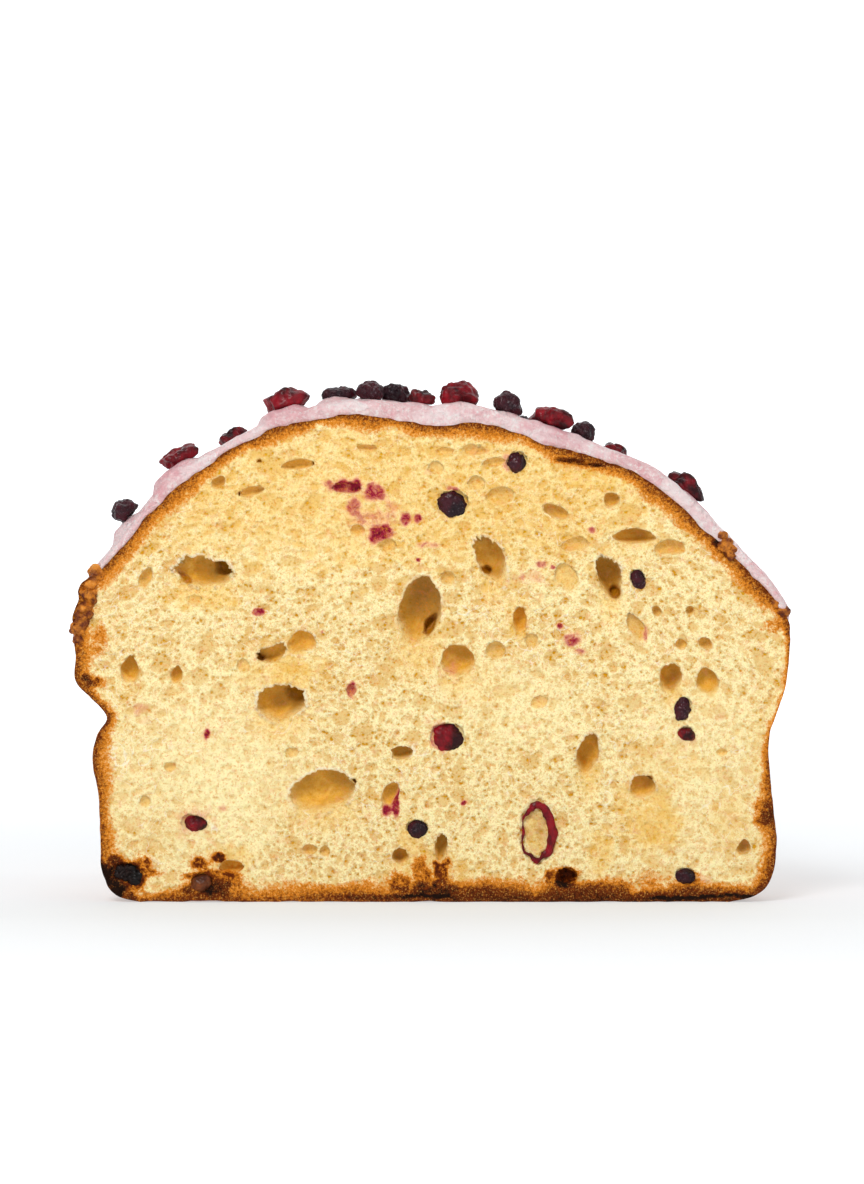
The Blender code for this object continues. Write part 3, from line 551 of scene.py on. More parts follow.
def add_piece(name, points, faces, made_of, nodes, values=None):
    """A smooth mesh from millimetres and faces, with values stored on its points."""
    mesh = bpy.data.meshes.new(name)
    mesh.from_pydata(((points + PLACE) * MM).tolist(), [], faces)
    mesh.materials.append(made_of)
    for key, numbers in (values or {}).items():
        stored = mesh.attributes.new(key, "FLOAT", "POINT")
        stored.data.foreach_set("value", np.asarray(numbers, np.float32))
    mesh.shade_smooth()
    obj = bpy.data.objects.new(name, mesh)
    bpy.context.scene.collection.objects.link(obj)
    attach(obj, "root")
    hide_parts(*nodes)
    return obj


def merge_near(obj, distance):
    """Merges points that lie together, such as the two sides of the tail's seam."""
    bm = bmesh.new()
    bm.from_mesh(obj.data)
    bmesh.ops.remove_doubles(bm, verts=bm.verts, dist=distance)
    bmesh.ops.recalc_face_normals(bm, faces=bm.faces)
    bm.to_mesh(obj.data)
    bm.free()


# Materials

def add_node(tree, kind, inputs=None, output=0, **settings):
    """Adds a shader node with its settings and inputs, and gives one of its outputs.

    An input is a value, a colour or another node's output."""
    node = tree.nodes.new(kind)
    for key, value in settings.items():
        setattr(node, key, value)
    for key, value in (inputs or {}).items():
        if isinstance(value, bpy.types.NodeSocket):
            tree.links.new(value, node.inputs[key])
        else:
            node.inputs[key].default_value = value
    return node.outputs[output]


def new_material(name, *marks):
    """An empty material, its tree, its shader, the object's own coordinates and then the marks.

    A mark is a value that is stored on the points of the piece."""
    made = bpy.data.materials.new(name)
    made.use_nodes = True
    tree = made.node_tree
    place = add_node(tree, "ShaderNodeTexCoord", output="Object")
    found = [add_node(tree, "ShaderNodeAttribute", output="Fac", attribute_name=mark) for mark in marks]
    return made, tree, tree.nodes["Principled BSDF"], place, *found


def patterns(tree, place, *rows):
    """The patterns of a material: soft grain or round cells, each of a real size in millimetres.

    A row has the size, and for grain its detail, roughness and distortion as well."""
    found = []
    for size, *grain in rows:
        inputs = {"Vector": place, "Scale": 1 / (size * MM)}
        inputs.update(zip(("Detail", "Roughness", "Distortion"), grain))
        found.append(add_node(tree, "ShaderNodeTexNoise" if grain else "ShaderNodeTexVoronoi", inputs))
    return found


def summed(tree, *parts):
    """The sum of patterns, each kept inside one range and turned to another.

    A part has a pattern, the range it is read over and the range it is turned to."""
    total = None
    for pattern, low, high, to_low, to_high in parts:
        part = add_node(tree, "ShaderNodeMapRange", {0: pattern, 1: low, 2: high, 3: to_low, 4: to_high})
        total = part if total is None else add_node(tree, "ShaderNodeMath", {0: total, 1: part})
    return total


def laid_over(tree, colour, *coats):
    """Colours laid one over the other, each only where its pattern runs from low to high.

    A coat has a pattern, the range it is read over, how strong it starts and ends, and a colour."""
    for pattern, low, high, weak, strong, coat in coats:
        share = summed(tree, (pattern, low, high, weak, strong))
        first, second = (linear(c) if isinstance(c, str) else c for c in (colour, coat))
        first, second = (c if isinstance(c, bpy.types.NodeSocket) else (*c, 1.0) for c in (first, second))
        colour = add_node(tree, "ShaderNodeMix", {0: share, 6: first, 7: second}, 2, data_type="RGBA")
    return colour


def finish_shader(tree, shader, values):
    """Puts colours, roughness and the like on the Principled shader."""
    for key, value in values.items():
        if isinstance(value, bpy.types.NodeSocket):
            tree.links.new(value, shader.inputs[key])
        else:
            shader.inputs[key].default_value = value


def crumb_material(s):
    """Butter-rich yeast crumb: pale cell walls, golden hollows, browned towards the crust.

    The walls let a little of the light through. The darker gold of the hollows and the dark upper walls of
    the bubbles are painted shade."""
    made, tree, shader, place, hollow_shade, calm, rim, bubble, wall_shade, gold, juice, edge, char = new_material(
        "crumb_open_yeast_dough", "hollow_shade", "calm", "rim", "bubble", "wall_shade", "gold", "juice", "brown", "char")
    mottle, speck, broad, strand, clouds, streak, flecks = patterns(
        tree, place, (0.9, 4.0, 0.65, 0.0), (0.34, 2.0, 0.60, 0.0), (15.0, 3.0, 0.55, 0.0),
        (6.0, 1.0, 0.55, 1.4), (3.2, 3.0, 0.55, 0.8), (2.0, 5.0, 0.66, 0.6), (0.65, 4.0, 0.75, 0.0))

    # Cells that the eye reads as pits, pushed about so that none is round. Their middles get the hollow
    # colour: painted shade in pits that exist only as bump.
    push = add_node(tree, "ShaderNodeTexNoise", {"Vector": place, "Scale": 1 / (2.0 * MM)}, "Color")
    push = add_node(tree, "ShaderNodeVectorMath", {0: push, 1: (0.5, 0.5, 0.5)}, operation="SUBTRACT")
    push = add_node(tree, "ShaderNodeVectorMath", {0: push, "Scale": 1.0 * MM}, operation="SCALE")
    laid = add_node(tree, "ShaderNodeVectorMath", {0: place, 1: push})
    laid = add_node(tree, "ShaderNodeMapping", {"Vector": laid, "Scale": (0.92, 1.0, 1.08)})
    cell, fine = patterns(tree, laid, (1.35,), (s.cell / MM,))
    ragged = summed(tree, (cell, 0.0, 2.0, 0.0, 2.0), (mottle, 0.35, 0.65, 0.0, 0.16))
    ragged_fine = summed(tree, (fine, 0.0, 2.0, 0.0, 2.0), (mottle, 0.35, 0.65, 0.0, 0.16))
    grain = add_node(tree, "ShaderNodeMath", {0: summed(tree, (speck, 0.34, 0.66, 0.36, -0.22)),
                                              1: summed(tree, (hollow_shade, 0.1, 0.8, 1.0, 0.3))},
                     operation="MULTIPLY")
    pits = summed(tree, (ragged, 0.41, 0.22, 0.0, 0.64), (ragged_fine, 0.46, 0.18, 0.0, 0.38),
                  (grain, -1.0, 1.0, -1.0, 1.0))
    pits = add_node(tree, "ShaderNodeMath", {0: pits, 1: summed(tree, (calm, 0.0, 1.0, 1.0, 0.5))},
                    operation="MULTIPLY")
    sunk = summed(tree, (pits, -1.0, 2.0, -1.0, 2.0), (hollow_shade, 0.0, 1.0, 0.0, 0.74),
                  (broad, 0.35, 0.72, -0.06, 0.18))

    # Thin threads of gluten, here and there
    strand = add_node(tree, "ShaderNodeMath", {0: strand, 1: 0.5}, operation="SUBTRACT")
    strand = add_node(tree, "ShaderNodeMath", {0: strand}, operation="ABSOLUTE")
    strand = add_node(tree, "ShaderNodeMath", {0: summed(tree, (strand, 0.010, 0.003, 0.0, 0.5)),
                                               1: summed(tree, (broad, 0.50, 0.56, 0.0, 1.0))},
                      operation="MULTIPLY")
    # Painted shade: pits and hollows are darkened to the hollow colour
    colour = laid_over(tree, s.crumb, (sunk, -0.05, 1.20, 0.0, 1.0, s.hollow_shade),
                       (strand, 0.0, 1.0, 0.0, 1.0, "#FFFBEC"), (rim, 0.0, 1.0, 0.0, 1.0, "#FFFAE4"))
    # The bubbles' walls; their last coat is painted shade on the upper walls
    walls = laid_over(tree, s.bubble, (mottle, 0.36, 0.68, 0.0, 1.0, "#D09A1C"),
                      (clouds, 0.42, 0.62, 0.0, 0.50, "#A67A14"), (clouds, 0.50, 0.34, 0.0, 0.65, "#F8CE60"),
                      (speck, 0.50, 0.72, 0.0, 0.18, s.crumb), (wall_shade, 0.0, 1.0, 0.0, 1.0, "#704C0A"))
    tint = add_node(tree, "ShaderNodeMath", {0: gold, 1: summed(tree, (mottle, 0.3, 0.6, 0.45, 1.0))},
                    operation="MULTIPLY")
    amber = laid_over(tree, s.gold, (bubble, 0.0, 1.0, 0.0, 1.0, "#DE9410"))
    juicy = summed(tree, (juice, 0.0, 1.5, 0.0, 1.5), (streak, 0.3, 0.7, -0.36, 0.30))
    colour = laid_over(tree, colour, (bubble, 0.0, 1.0, 0.0, 1.0, walls), (tint, 0.0, 1.0, 0.0, 1.0, amber),
                       (juicy, 0.05, 0.60, 0.0, 0.70, "#E89A7C"), (juicy, 0.42, 0.95, 0.0, 1.0, s.juice),
                       (juicy, 0.85, 1.30, 0.0, 1.0, "#5E0A1C"))

    # The browned edge, granular, with pale grains in it
    burnt = add_node(tree, "ShaderNodeMath", {0: char, 1: summed(tree, (streak, 0.32, 0.58, 0.5, 1.5))},
                     operation="MULTIPLY")
    brown = summed(tree, (edge, 0.0, 2.0, 0.0, 2.0), (flecks, 0.32, 0.68, -0.36, 0.36),
                   (burnt, 0.0, 2.0, 0.0, 2.0))
    pale = add_node(tree, "ShaderNodeMath", {0: summed(tree, (speck, 0.54, 0.70, 0.0, 0.6)),
                                             1: summed(tree, (edge, 0.1, 0.3, 0.0, 1.0))},
                    operation="MULTIPLY")
    colour = laid_over(tree, colour, (brown, 0.05, 0.48, 0.0, 1.0, s.crust),
                       (brown, 0.52, 1.02, 0.0, 1.0, s.crust_dark), (pale, 0.0, 1.0, 0.0, 1.0, "#EFAE54"),
                       (brown, 1.10, 1.75, 0.0, 1.0, s.char))
    relief = summed(tree, (cell, 0.05, 0.46, 0.0, 0.9), (fine, 0.0, 0.5, 0.0, 0.45),
                    (mottle, 0.0, 1.0, 0.0, 0.35))
    soft = summed(tree, (bubble, 0.0, 1.0, 0.72, 0.28), (calm, 0.0, 1.0, 0.0, -0.25))
    normal = add_node(tree, "ShaderNodeBump", {"Height": relief, "Distance": 0.42 * MM, "Strength": soft})
    finish_shader(tree, shader, {
        "Base Color": colour, "Roughness": summed(tree, (bubble, 0.0, 1.0, 0.80, 0.50)),
        "Normal": normal, "Subsurface Weight": 0.12, "Subsurface Radius": (1.0, 0.62, 0.20),
        "Subsurface Scale": 0.7 * MM, "Specular IOR Level": 0.10})
    return made


def crust_material(s):
    """Oven-browned crust: darker on the blisters and the lip, golden where the paper was.

    Melted butter leaves a low sheen on it, broken up by fine wrinkles."""
    made, tree, shader, place, tone = new_material("crust_baked_in_paper_mould", "tone")
    blotches, flecks, pores = patterns(tree, place, (11.0, 4.0, 0.6, 0.0), (1.3, 4.0, 0.7, 0.0), (1.9,))
    dark = summed(tree, (tone, -1.0, 2.0, -1.0, 2.0), (blotches, 0.3, 0.7, -0.32, 0.32),
                  (flecks, 0.3, 0.7, -0.36, 0.36))
    colour = laid_over(tree, "#E0AC5C", (dark, -0.1, 0.35, 0.0, 1.0, s.crust),
                       (dark, 0.35, 1.05, 0.0, 1.0, s.crust_dark), (dark, 1.05, 1.5, 0.0, 0.8, s.char),
                       (pores, 0.18, 0.05, 0.0, 0.7, s.crust_dark))
    relief = summed(tree, (flecks, 0.0, 1.0, 0.0, 1.0), (pores, 0.0, 0.3, 0.0, 0.5))
    finish_shader(tree, shader, {
        "Base Color": colour, "Roughness": summed(tree, (blotches, 0.3, 0.7, 0.46, 0.68)),
        "Normal": add_node(tree, "ShaderNodeBump", {"Height": relief, "Distance": 0.5 * MM, "Strength": 0.9}),
        "Subsurface Weight": 0.06, "Subsurface Radius": (1.0, 0.5, 0.2), "Subsurface Scale": 0.8 * MM,
        "Specular IOR Level": 0.3})
    return made


def icing_material(s):
    """Sugar icing that set with a matt, slightly grainy skin, faintly translucent where thin.

    Berry juice turns it pink in clouds and where the fruit lies on it."""
    made, tree, shader, place, thin, juice = new_material("icing_set_sugar_glaze", "thin", "juice")
    cloud, blush, grain = patterns(
        tree, place, (9.0, 3.0, 0.55, 0.0), (2.6, 4.0, 0.62, 0.4), (0.9, 4.0, 0.7, 0.0))
    colour = laid_over(tree, s.icing, (cloud, 0.38, 0.62, 0.0, 0.66, "#FFF2F0"),
                       (blush, 0.50, 0.66, 0.0, 0.50, "#E4959E"), (grain, 0.50, 0.66, 0.0, 0.75, "#FFF8F4"),
                       (thin, 0.35, 1.0, 0.0, 0.55, "#D8978F"), (juice, 0.0, 1.0, 0.0, 0.62, "#CC4E6A"))
    relief = summed(tree, (grain, 0.0, 1.0, 0.0, 0.6), (blush, 0.0, 1.0, 0.0, 1.2))
    finish_shader(tree, shader, {
        "Base Color": colour, "Roughness": summed(tree, (grain, 0.3, 0.7, 0.36, 0.60)),
        "Normal": add_node(tree, "ShaderNodeBump", {"Height": relief, "Distance": 1.5 * MM, "Strength": 1.0}),
        "Subsurface Weight": 0.22, "Subsurface Radius": (1.0, 0.62, 0.58), "Subsurface Scale": 1.0 * MM,
        "Coat Weight": 0.10, "Coat Roughness": 0.25, "Specular IOR Level": 0.35})
    return made


def fruit_material(name, thin_colour, thick_colour, bloom_colour, bloom, gloss):
    """Dried fruit: dark where thick, glowing red where thin, glossy ridges, pale bloom in specks on its
    darker parts.
    """
    made, tree, shader, place, fold_shade_and_tone, own = new_material(name, "fold_shade_and_tone", "own")
    blotches, specks, wrinkles = patterns(
        tree, place, (2.6, 3.0, 0.55, 0.0), (0.42, 3.0, 0.7, 0.0), (0.9, 4.0, 0.65, 0.5))
    thin = summed(tree, (blotches, 0.34, 0.68, 0.0, 1.0), (own, -1.0, 2.0, -1.5, 1.5))
    # Painted shade: the folds are darkened towards the thick colour
    colour = laid_over(tree, thick_colour, (thin, 0.0, 1.0, 0.0, 1.0, thin_colour),
                       (fold_shade_and_tone, 0.45, 1.0, 0.0, 0.6, thick_colour))
    dust = add_node(tree, "ShaderNodeMath", {0: summed(tree, (specks, 0.56, 0.70, 0.0, 1.0)),
                                             1: summed(tree, (blotches, 0.62, 0.42, 0.0, bloom))},
                    operation="MULTIPLY")
    colour = laid_over(tree, colour, (dust, 0.0, 1.0, 0.0, 1.0, bloom_colour))
    dried = {"Height": wrinkles, "Distance": 0.4 * MM, "Strength": 0.8}
    dried = add_node(tree, "ShaderNodeBump", dried)
    finish_shader(tree, shader, {
        "Base Color": colour, "Roughness": summed(tree, (dust, 0.0, 0.5, gloss, 0.7)),
        "Normal": dried, "Subsurface Weight": 0.15, "Subsurface Radius": (1.0, 0.12, 0.12),
        "Subsurface Scale": 1.2 * MM, "Coat Weight": 0.18, "Coat Roughness": 0.14,
        "Specular IOR Level": 0.12})
    return made


def floor_material(s):
    """Matt white paper with painted light: it glows, more the farther off it is, as a lit backdrop does, and
    least close round the cake, where the floor is left darker.
    """
    made, tree, shader, place = new_material("floor_white_paper_painted_glow")
    grain, = patterns(tree, place, (1.5, 3.0, 0.55, 0.0))
    far = add_node(tree, "ShaderNodeVectorMath", {0: place}, "Value", operation="LENGTH")
    before = add_node(tree, "ShaderNodeSeparateXYZ", {0: place}, "Y")
    # Painted light: how strongly the floor glows, lowest close round the cake
    near = summed(tree, (far, 0.0, 9.0, 0.0, 9.0), (before, -3.0, 0.0, 3.3, 0.0),
                  (before, -0.10, 0.02, 0.0, 0.30))
    finish_shader(tree, shader, {
        "Base Color": laid_over(tree, s.floor, (grain, 0.3, 0.7, 0.0, 0.02, "#B2B3B5")),
        "Roughness": 0.9, "Specular IOR Level": 0.1, "Emission Color": (0.95, 0.985, 1.0, 1.0),
        "Emission Strength": summed(tree, (near, 0.12, 0.60, 0.365, 0.55), (far, 0.21, 1.6, 0.0, 0.50))})
    return made


# The cut face

def turned(points, x, z, lean):
    """Offsets from a place in the cut, turned into the lean's own axes."""
    angle = math.radians(lean)
    dx, dz = points[:, 0] - x, points[:, 1] - z
    return (dx * math.cos(angle) - dz * math.sin(angle),
            dx * math.sin(angle) + dz * math.cos(angle))


def bubble_radius(angle, index, taper, torn):
    """A bubble's rim as a share of its half size, for angles from its own right."""
    way = np.stack([np.cos(angle), np.sin(angle)], axis=-1)
    shape = 1 + 0.15 * waves(way * 1.1 + index * 7.7, 1.0, 21)
    shape += 0.045 * waves(way * 3.3 + index * 2.3, 1.0, 24)
    shape *= 1 - taper * np.sin(angle) * np.abs(np.cos(angle)) * 0.9
    ragged = 1.2 * np.abs(waves(way * 5.2 + index * 3.1, 1.0, 22))
    ragged += 0.7 * waves(way * 13 + index, 1.0, 23)
    return shape - torn * ragged * (0.35 + 0.65 * smooth(np.sin(angle) + 0.4)) + torn * 0.25


def in_bubble(points, index, row):
    """Each point's distance from the bubble's middle, as a share of the way to its rim."""
    x, z, width, height, lean, _, taper, torn = row
    across, up = turned(points, x, z, lean)
    u, v = across / (width / 2), up / (height / 2)
    return np.hypot(u, v) / bubble_radius(np.arctan2(v, u), index, taper, torn)


def bubble_points(index, row, spacing):
    """Points on rings inside a bubble, so that its rim is crisp and its wall smooth."""
    x, z, width, height, lean, _, taper, torn = row
    mean = (width + height) / 4
    rings = max(3, round(1.25 * mean / spacing))
    found = []
    for ring in range(1, rings + 1):
        share = ring / rings * 0.985
        count = max(6, round(2 * math.pi * mean * share / (spacing * 0.92)))
        angle = np.arange(count) / count * 2 * math.pi + ring * 0.7
        radius = bubble_radius(angle, index, taper, torn) * share
        across, up = radius * np.cos(angle) * width / 2, radius * np.sin(angle) * height / 2
        lean_angle = math.radians(lean)
        found.append(np.stack([
            x + across * math.cos(lean_angle) + up * math.sin(lean_angle),
            z - across * math.sin(lean_angle) + up * math.cos(lean_angle)], axis=-1))
    return np.concatenate(found)


def inside(points, outline):
    """Which points lie inside the closed outline."""
    found = np.zeros(len(points), bool)
    for (ax, az), (bx, bz) in zip(outline, np.roll(outline, -1, axis=0)):
        if az == bz:
            continue
        crosses = (az > points[:, 1]) != (bz > points[:, 1])
        meets = ax + (points[:, 1] - az) / (bz - az) * (bx - ax)
        found ^= crosses & (points[:, 0] < meets)
    return found


def resampled(outline, spacing):
    """The closed outline with a point at every step of about the spacing, and its ring places."""
    closed = np.vstack([outline, outline[:1]])
    found, index = [], []
    for i, (a, b) in enumerate(zip(closed, closed[1:])):
        steps = max(1, round(math.hypot(*(b - a)) / spacing))
        for k in range(steps):
            found.append(a + (b - a) * k / steps)
            index.append(i + k / steps)
    return np.array(found), np.array(index)


def patches(points, table, grow=1.0):
    """The strongest of a table's soft oval patches at each point."""
    total = np.zeros(len(points))
    for i, (x, z, width, height, strength) in enumerate(table):
        u = (points[:, 0] - x) / (width / 2 * grow)
        v = (points[:, 1] - z) / (height / 2 * grow)
        away = np.hypot(u, v) + 0.35 * waves(points + i * 5.3, 1.6, 31)
        total = np.maximum(total, strength * smooth((1.35 - away) / 0.8))
    return np.clip(total, 0, 1)


def nearest_on(outline, points):
    """How far each point is from the outline, and which of its points is the nearest."""
    tree = kdtree.KDTree(len(outline))
    for i, point in enumerate(outline):
        tree.insert((*point, 0.0), i)
    tree.balance()
    found = [tree.find((x, z, 0.0)) for x, z in points]
    return np.array([hit[2] for hit in found]), [hit[1] for hit in found]


def cut_points(outline, holes, spacing):
    """Points of the cut face: its outline, rings in the larger holes and an even field between."""
    low, high = outline.min(0), outline.max(0)
    rows = np.arange(low[1], high[1], spacing * 0.866)
    field = []
    for i, z in enumerate(rows):
        x = np.arange(low[0] + (i % 2) * spacing / 2, high[0], spacing)
        field.append(np.stack([x, np.full(len(x), z)], axis=-1))
    field = np.concatenate(field)
    field += 0.22 * spacing * np.stack([waves(field, spacing * 0.7, 41),
                                        waves(field, spacing * 0.7, 42)], axis=-1)
    field = field[inside(field, outline)]
    field = field[nearest_on(outline, field)[0] > 0.62 * spacing]
    rings = []
    for index, row in enumerate(holes):
        x, z, width, height = row[:4]
        close = np.hypot(field[:, 0] - x, field[:, 1] - z) < max(width, height)
        clear = np.ones(len(field), bool)
        margin = 1 + 0.5 * spacing / (min(width, height) / 2)
        clear[close] = in_bubble(field[close], index, row) > margin
        field = field[clear]
        own = bubble_points(index, row, spacing)
        for other in range(len(rings)):
            own = own[in_bubble(own, other, holes[other]) > 1.02]
        rings.append(own)
    rings = np.concatenate(rings)
    rings = rings[inside(rings, outline)]
    rings = rings[nearest_on(outline, rings)[0] > 0.5 * spacing]
    return np.concatenate([outline, rings, field])


def cell_relief(points, edge):
    """Depth of the crumb's cells, in mm, and how much painted shade each place gets in its hollows, from 0 to
    1.

    The cells lie along the dome: wide and low near the top, narrower near the base."""
    middle = -60.0
    angle = np.arctan2(points[:, 0], points[:, 1] - middle)
    away = np.hypot(points[:, 0], points[:, 1] - middle)
    laid = np.stack([angle * 98.0, away], axis=-1)
    laid += 1.3 * np.stack([waves(points, 7.0, 51), waves(points, 7.0, 52)], axis=-1)
    laid += 0.35 * np.stack([waves(points, 1.7, 53), waves(points, 1.7, 54)], axis=-1)
    fade = smooth((edge - 1.5) / 5)
    crowd = 0.62 + 0.38 * waves(points, 19.0, 55) + 0.45 * smooth((points[:, 1] - 62) / 16)
    depth = np.zeros(len(points))
    hollow_shade = np.zeros(len(points))
    for i, (pitch, radius, deep, presence) in enumerate(CRUMB_CELLS):
        near, size = cells(laid, pitch, radius, presence, 60 + 10 * i)
        bowl = np.clip(1 - near ** 2, 0, 1) ** 0.8
        amount = (fade * crowd, 0.35 + 0.65 * fade, 1.0)[i]
        own = bowl * size * deep * amount
        depth = np.where(own > depth * 0.8, np.maximum(own, depth) + 0.25 * np.minimum(own, depth), depth)
        hollow_shade = np.maximum(hollow_shade, smooth(bowl * 2.2) * (amount > 0.2) * (0.80, 0.80, 0.55)[i])
    swell = 0.35 * rough(points, 8.0, 56) + 0.10 * waves(points, 0.9, 57)
    return depth + swell + 0.35, hollow_shade


def push_in(points, flat, depth, rim, index, row):
    """Moves the points inside a bubble onto its wall: it overhangs above and slopes up below."""
    x, z, width, height = row[:4]
    deep = row[5]
    close = np.flatnonzero(np.hypot(points[:, 0] - x, points[:, 1] - z) < max(width, height))
    share = in_bubble(points[close], index, row)
    lip = np.exp(-((share - 1.07) / 0.075) ** 2) * smooth(row[7] / 0.10)
    lip *= smooth(0.65 + (points[close, 1] - z) / height + 0.7 * waves(points[close], 1.1, 83))
    rim[close] = np.maximum(rim[close], lip)
    close, share = close[share < 1], share[share < 1]
    upward = (points[close, 1] - z) / np.maximum(np.hypot(*(points[close] - (x, z)).T), 1e-6)
    reach = np.radians(92 + 24 * smooth(upward * 0.8 + 0.5))
    turn = reach * share
    wall = (np.cos(turn) - np.cos(reach)) / (1 - np.cos(reach))
    slope = 0.55 * smooth(0.1 - upward)
    wall = wall * (1 - slope) + slope * (1 - smooth(share))
    wide = np.sin(turn) / np.sin(reach) / np.maximum(share, 1e-4)
    wide = wide * (1 - slope) + slope
    flat[close] = (x, z) + (points[close] - (x, z)) * wide[:, None]
    kept = 0.3 + 0.7 * share ** (6 - 4 * slope)
    depth[close] = depth[close] * kept + deep * wall
    # Painted shade: the upper wall, under its overhang, is darkened in colour
    wall_shade = smooth(0.30 + 0.75 * upward * share + 0.5 * waves(points[close], 2.2, 82)) * min(1.0, deep / 4)
    return close, share, wall, wall_shade


def cut_cranberry(points):
    """How far each point lies under the cut cranberry's skin, and how far in its flesh."""
    x, z, width, height, thick = SKIN_RING
    away = np.hypot((points[:, 0] - x) / (width / 2), (points[:, 1] - z) / (height / 2))
    off_skin = np.abs(away - 1) * (width + height) / 4
    return smooth((thick * 0.5 - off_skin) / 0.5), smooth((0.95 - away) / 0.3)


def browned_edge(points, edge, at_ring):
    """How browned and how burnt the cut is at each point, from the crust inwards. The burnt share also holds
    painted shade: a dark fissure line and a few dark holes.
    """
    places, widths, darks = np.array(CRUST_BAND).T
    thick = np.interp(at_ring, places, widths)
    dark = np.interp(at_ring, places, darks)
    thick = thick * (1 + 0.55 * rough(points, 7.0, 71)) + 0.8 * rough(points, 1.8, 72)
    thick = thick + 2.4 * waves(points * (1.0, 0.2), 12.0, 73) * smooth((6 - points[:, 1]) / 4)
    band = np.clip(1 - edge / np.maximum(thick, 0.3), 0, 1)
    brown = np.clip(band ** 0.8 * (0.55 + 0.75 * dark), 0, 1.3)
    # A broken dark line just above the base, mostly on the right: painted shade of a fissure in the crust
    along = points * (1.0, 0.0)
    height = 0.9 + 0.6 * waves(along, 11.0, 91) + 0.25 * waves(along, 1.9, 92)
    fissure_shade = smooth(1.4 - np.abs(points[:, 1] - height) / 0.45)
    broken = smooth(waves(points * (1.0, 0.2), 9.0, 93) * 0.8 + 0.55) * smooth((points[:, 0] + 40) / 45)
    return brown, np.maximum(patches(points, CHAR_AND_HOLE_SHADE), 0.95 * fissure_shade * broken)


def cut_faces(points, outline):
    """Triangles over the cut face, without those that bridge the waist outside its outline."""
    loop = [list(range(len(outline)))]
    solved = delaunay_2d_cdt([Vector(p) for p in points.tolist()], [], loop, 1, 1e-6, False)
    if len(solved[0]) != len(points):
        raise RuntimeError("the cut face's points were merged or split")
    triangles = np.array(solved[2])[:, ::-1]
    spans_outline = (triangles < len(outline)).all(axis=1)
    keep = np.ones(len(triangles), bool)
    keep[spans_outline] = inside(points[triangles[spans_outline]].mean(axis=1), outline)
    return triangles[keep].tolist()


def build_crumb(s):
    """The cut face: bubbles, cells, juice and the browned edge, out to the crust's front ring."""
    place, _, skin_points = crust_grid()
    front = skin_points[:len(place), (0, 2)]
    spacing = s.spacing / MM
    outline, index = resampled(front, spacing)
    outline_place = np.interp(index, np.arange(len(place) + 1), np.append(place, RING_END))
    pockets = [(x, z, w - POCKET_GRIP, h - POCKET_GRIP, lean, 1.2, 0.0, 0.0)
               for _, x, z, w, h, lean, _ in FRUIT_POCKETS]
    holes = [*BUBBLES, *SHALLOW_BUBBLES, *pockets]
    points = cut_points(outline, holes, spacing)
    edge, nearest = nearest_on(outline, points)
    depth, hollow_shade = cell_relief(points, edge)
    calm = patches(points, CALM)
    hollow_shade *= 1 - 0.45 * calm
    flat = points.copy()
    bubble = np.zeros(len(points))
    wall_shade = np.zeros(len(points))
    rim = np.zeros(len(points))
    gold = np.maximum(patches(points, GOLD, 1.15) * 0.6, 0.16 * smooth(1 - edge / 8))
    # The crumb round a large bubble was drawn thin and yellow, most of all below it
    for x, z, width, height, _, deep, _, _ in BUBBLES:
        u = (points[:, 0] - x) / (width * 0.80)
        v = (points[:, 1] - z + height * 0.32) / (height * 0.85)
        skirt = smooth(1.15 - np.hypot(u, v)) * smooth((deep - 1.5) / 3)
        depth += 0.26 * deep * skirt
        gold = np.maximum(gold, 0.50 * skirt)
        hollow_shade *= 1 - 0.5 * skirt
    # The bubbles and pockets themselves: smooth walls, in which the small cells fade out, with painted shade
    # on their upper walls
    for i, row in enumerate(holes):
        close, share, wall, shade = push_in(points, flat, depth, rim, i, row)
        wall_shade[close] = 0.75 * shade
        sunk = smooth(wall / 0.8) * min(1.0, row[5] / 2.8)
        bubble[close] = np.maximum(bubble[close], sunk * 0.9)
        if row not in pockets:
            gold[close] = np.maximum(gold[close], 0.34 * smooth(wall / 0.5))
        hollow_shade[close] = hollow_shade[close] * (0.3 + 0.7 * share ** 3)
    # Torn rims stand up from the face, pale against the hole
    depth = depth * (1 - 0.75 * rim) - 0.30 * rim
    rim *= 1 - smooth(bubble * 2)
    # Holes into the bubbles behind: deeper, and darkened in colour as painted shade
    for x, z, width, height, lean, extra in INNER_HOLES:
        across, up = turned(points, x, z, lean)
        away = np.hypot(across / (width / 2), up / (height / 2)) + 0.12 * waves(points, 0.9, 81)
        inner = smooth((1.1 - away) / 0.35)
        depth += inner * extra
        bubble = np.maximum(bubble, inner)
        wall_shade = np.maximum(wall_shade, inner)
    # More painted shade on the bubbles' walls, where the shadow table puts it
    wall_shade = np.maximum(wall_shade, patches(points, SHADOW) * smooth(bubble * 1.6))
    # The cut cranberry's flesh lies a little sunk, with some painted shade on it
    under_skin, flesh = cut_cranberry(points)
    depth += 0.35 * under_skin + 0.5 * flesh
    bubble = np.maximum(bubble, 0.55 * flesh)
    wall_shade = np.maximum(wall_shade, 0.12 * flesh)
    # The face meets the crust's front ring level with it, so that no gap opens there
    depth *= smooth((edge - 0.1) / 0.8)
    brown, char = browned_edge(points, edge, outline_place[nearest])
    placed = np.stack([flat[:, 0], depth, flat[:, 1]], axis=-1)
    values = {
        "hollow_shade": np.clip(hollow_shade, 0, 1), "calm": calm, "rim": 0.9 * rim, "bubble": bubble, "wall_shade": wall_shade,
        "brown": brown, "juice": patches(points, JUICE), "gold": gold, "char": char,
    }
    faces = cut_faces(points, outline)
    add_piece("crumb", placed, faces, crumb_material(s), ["loaf"], values)


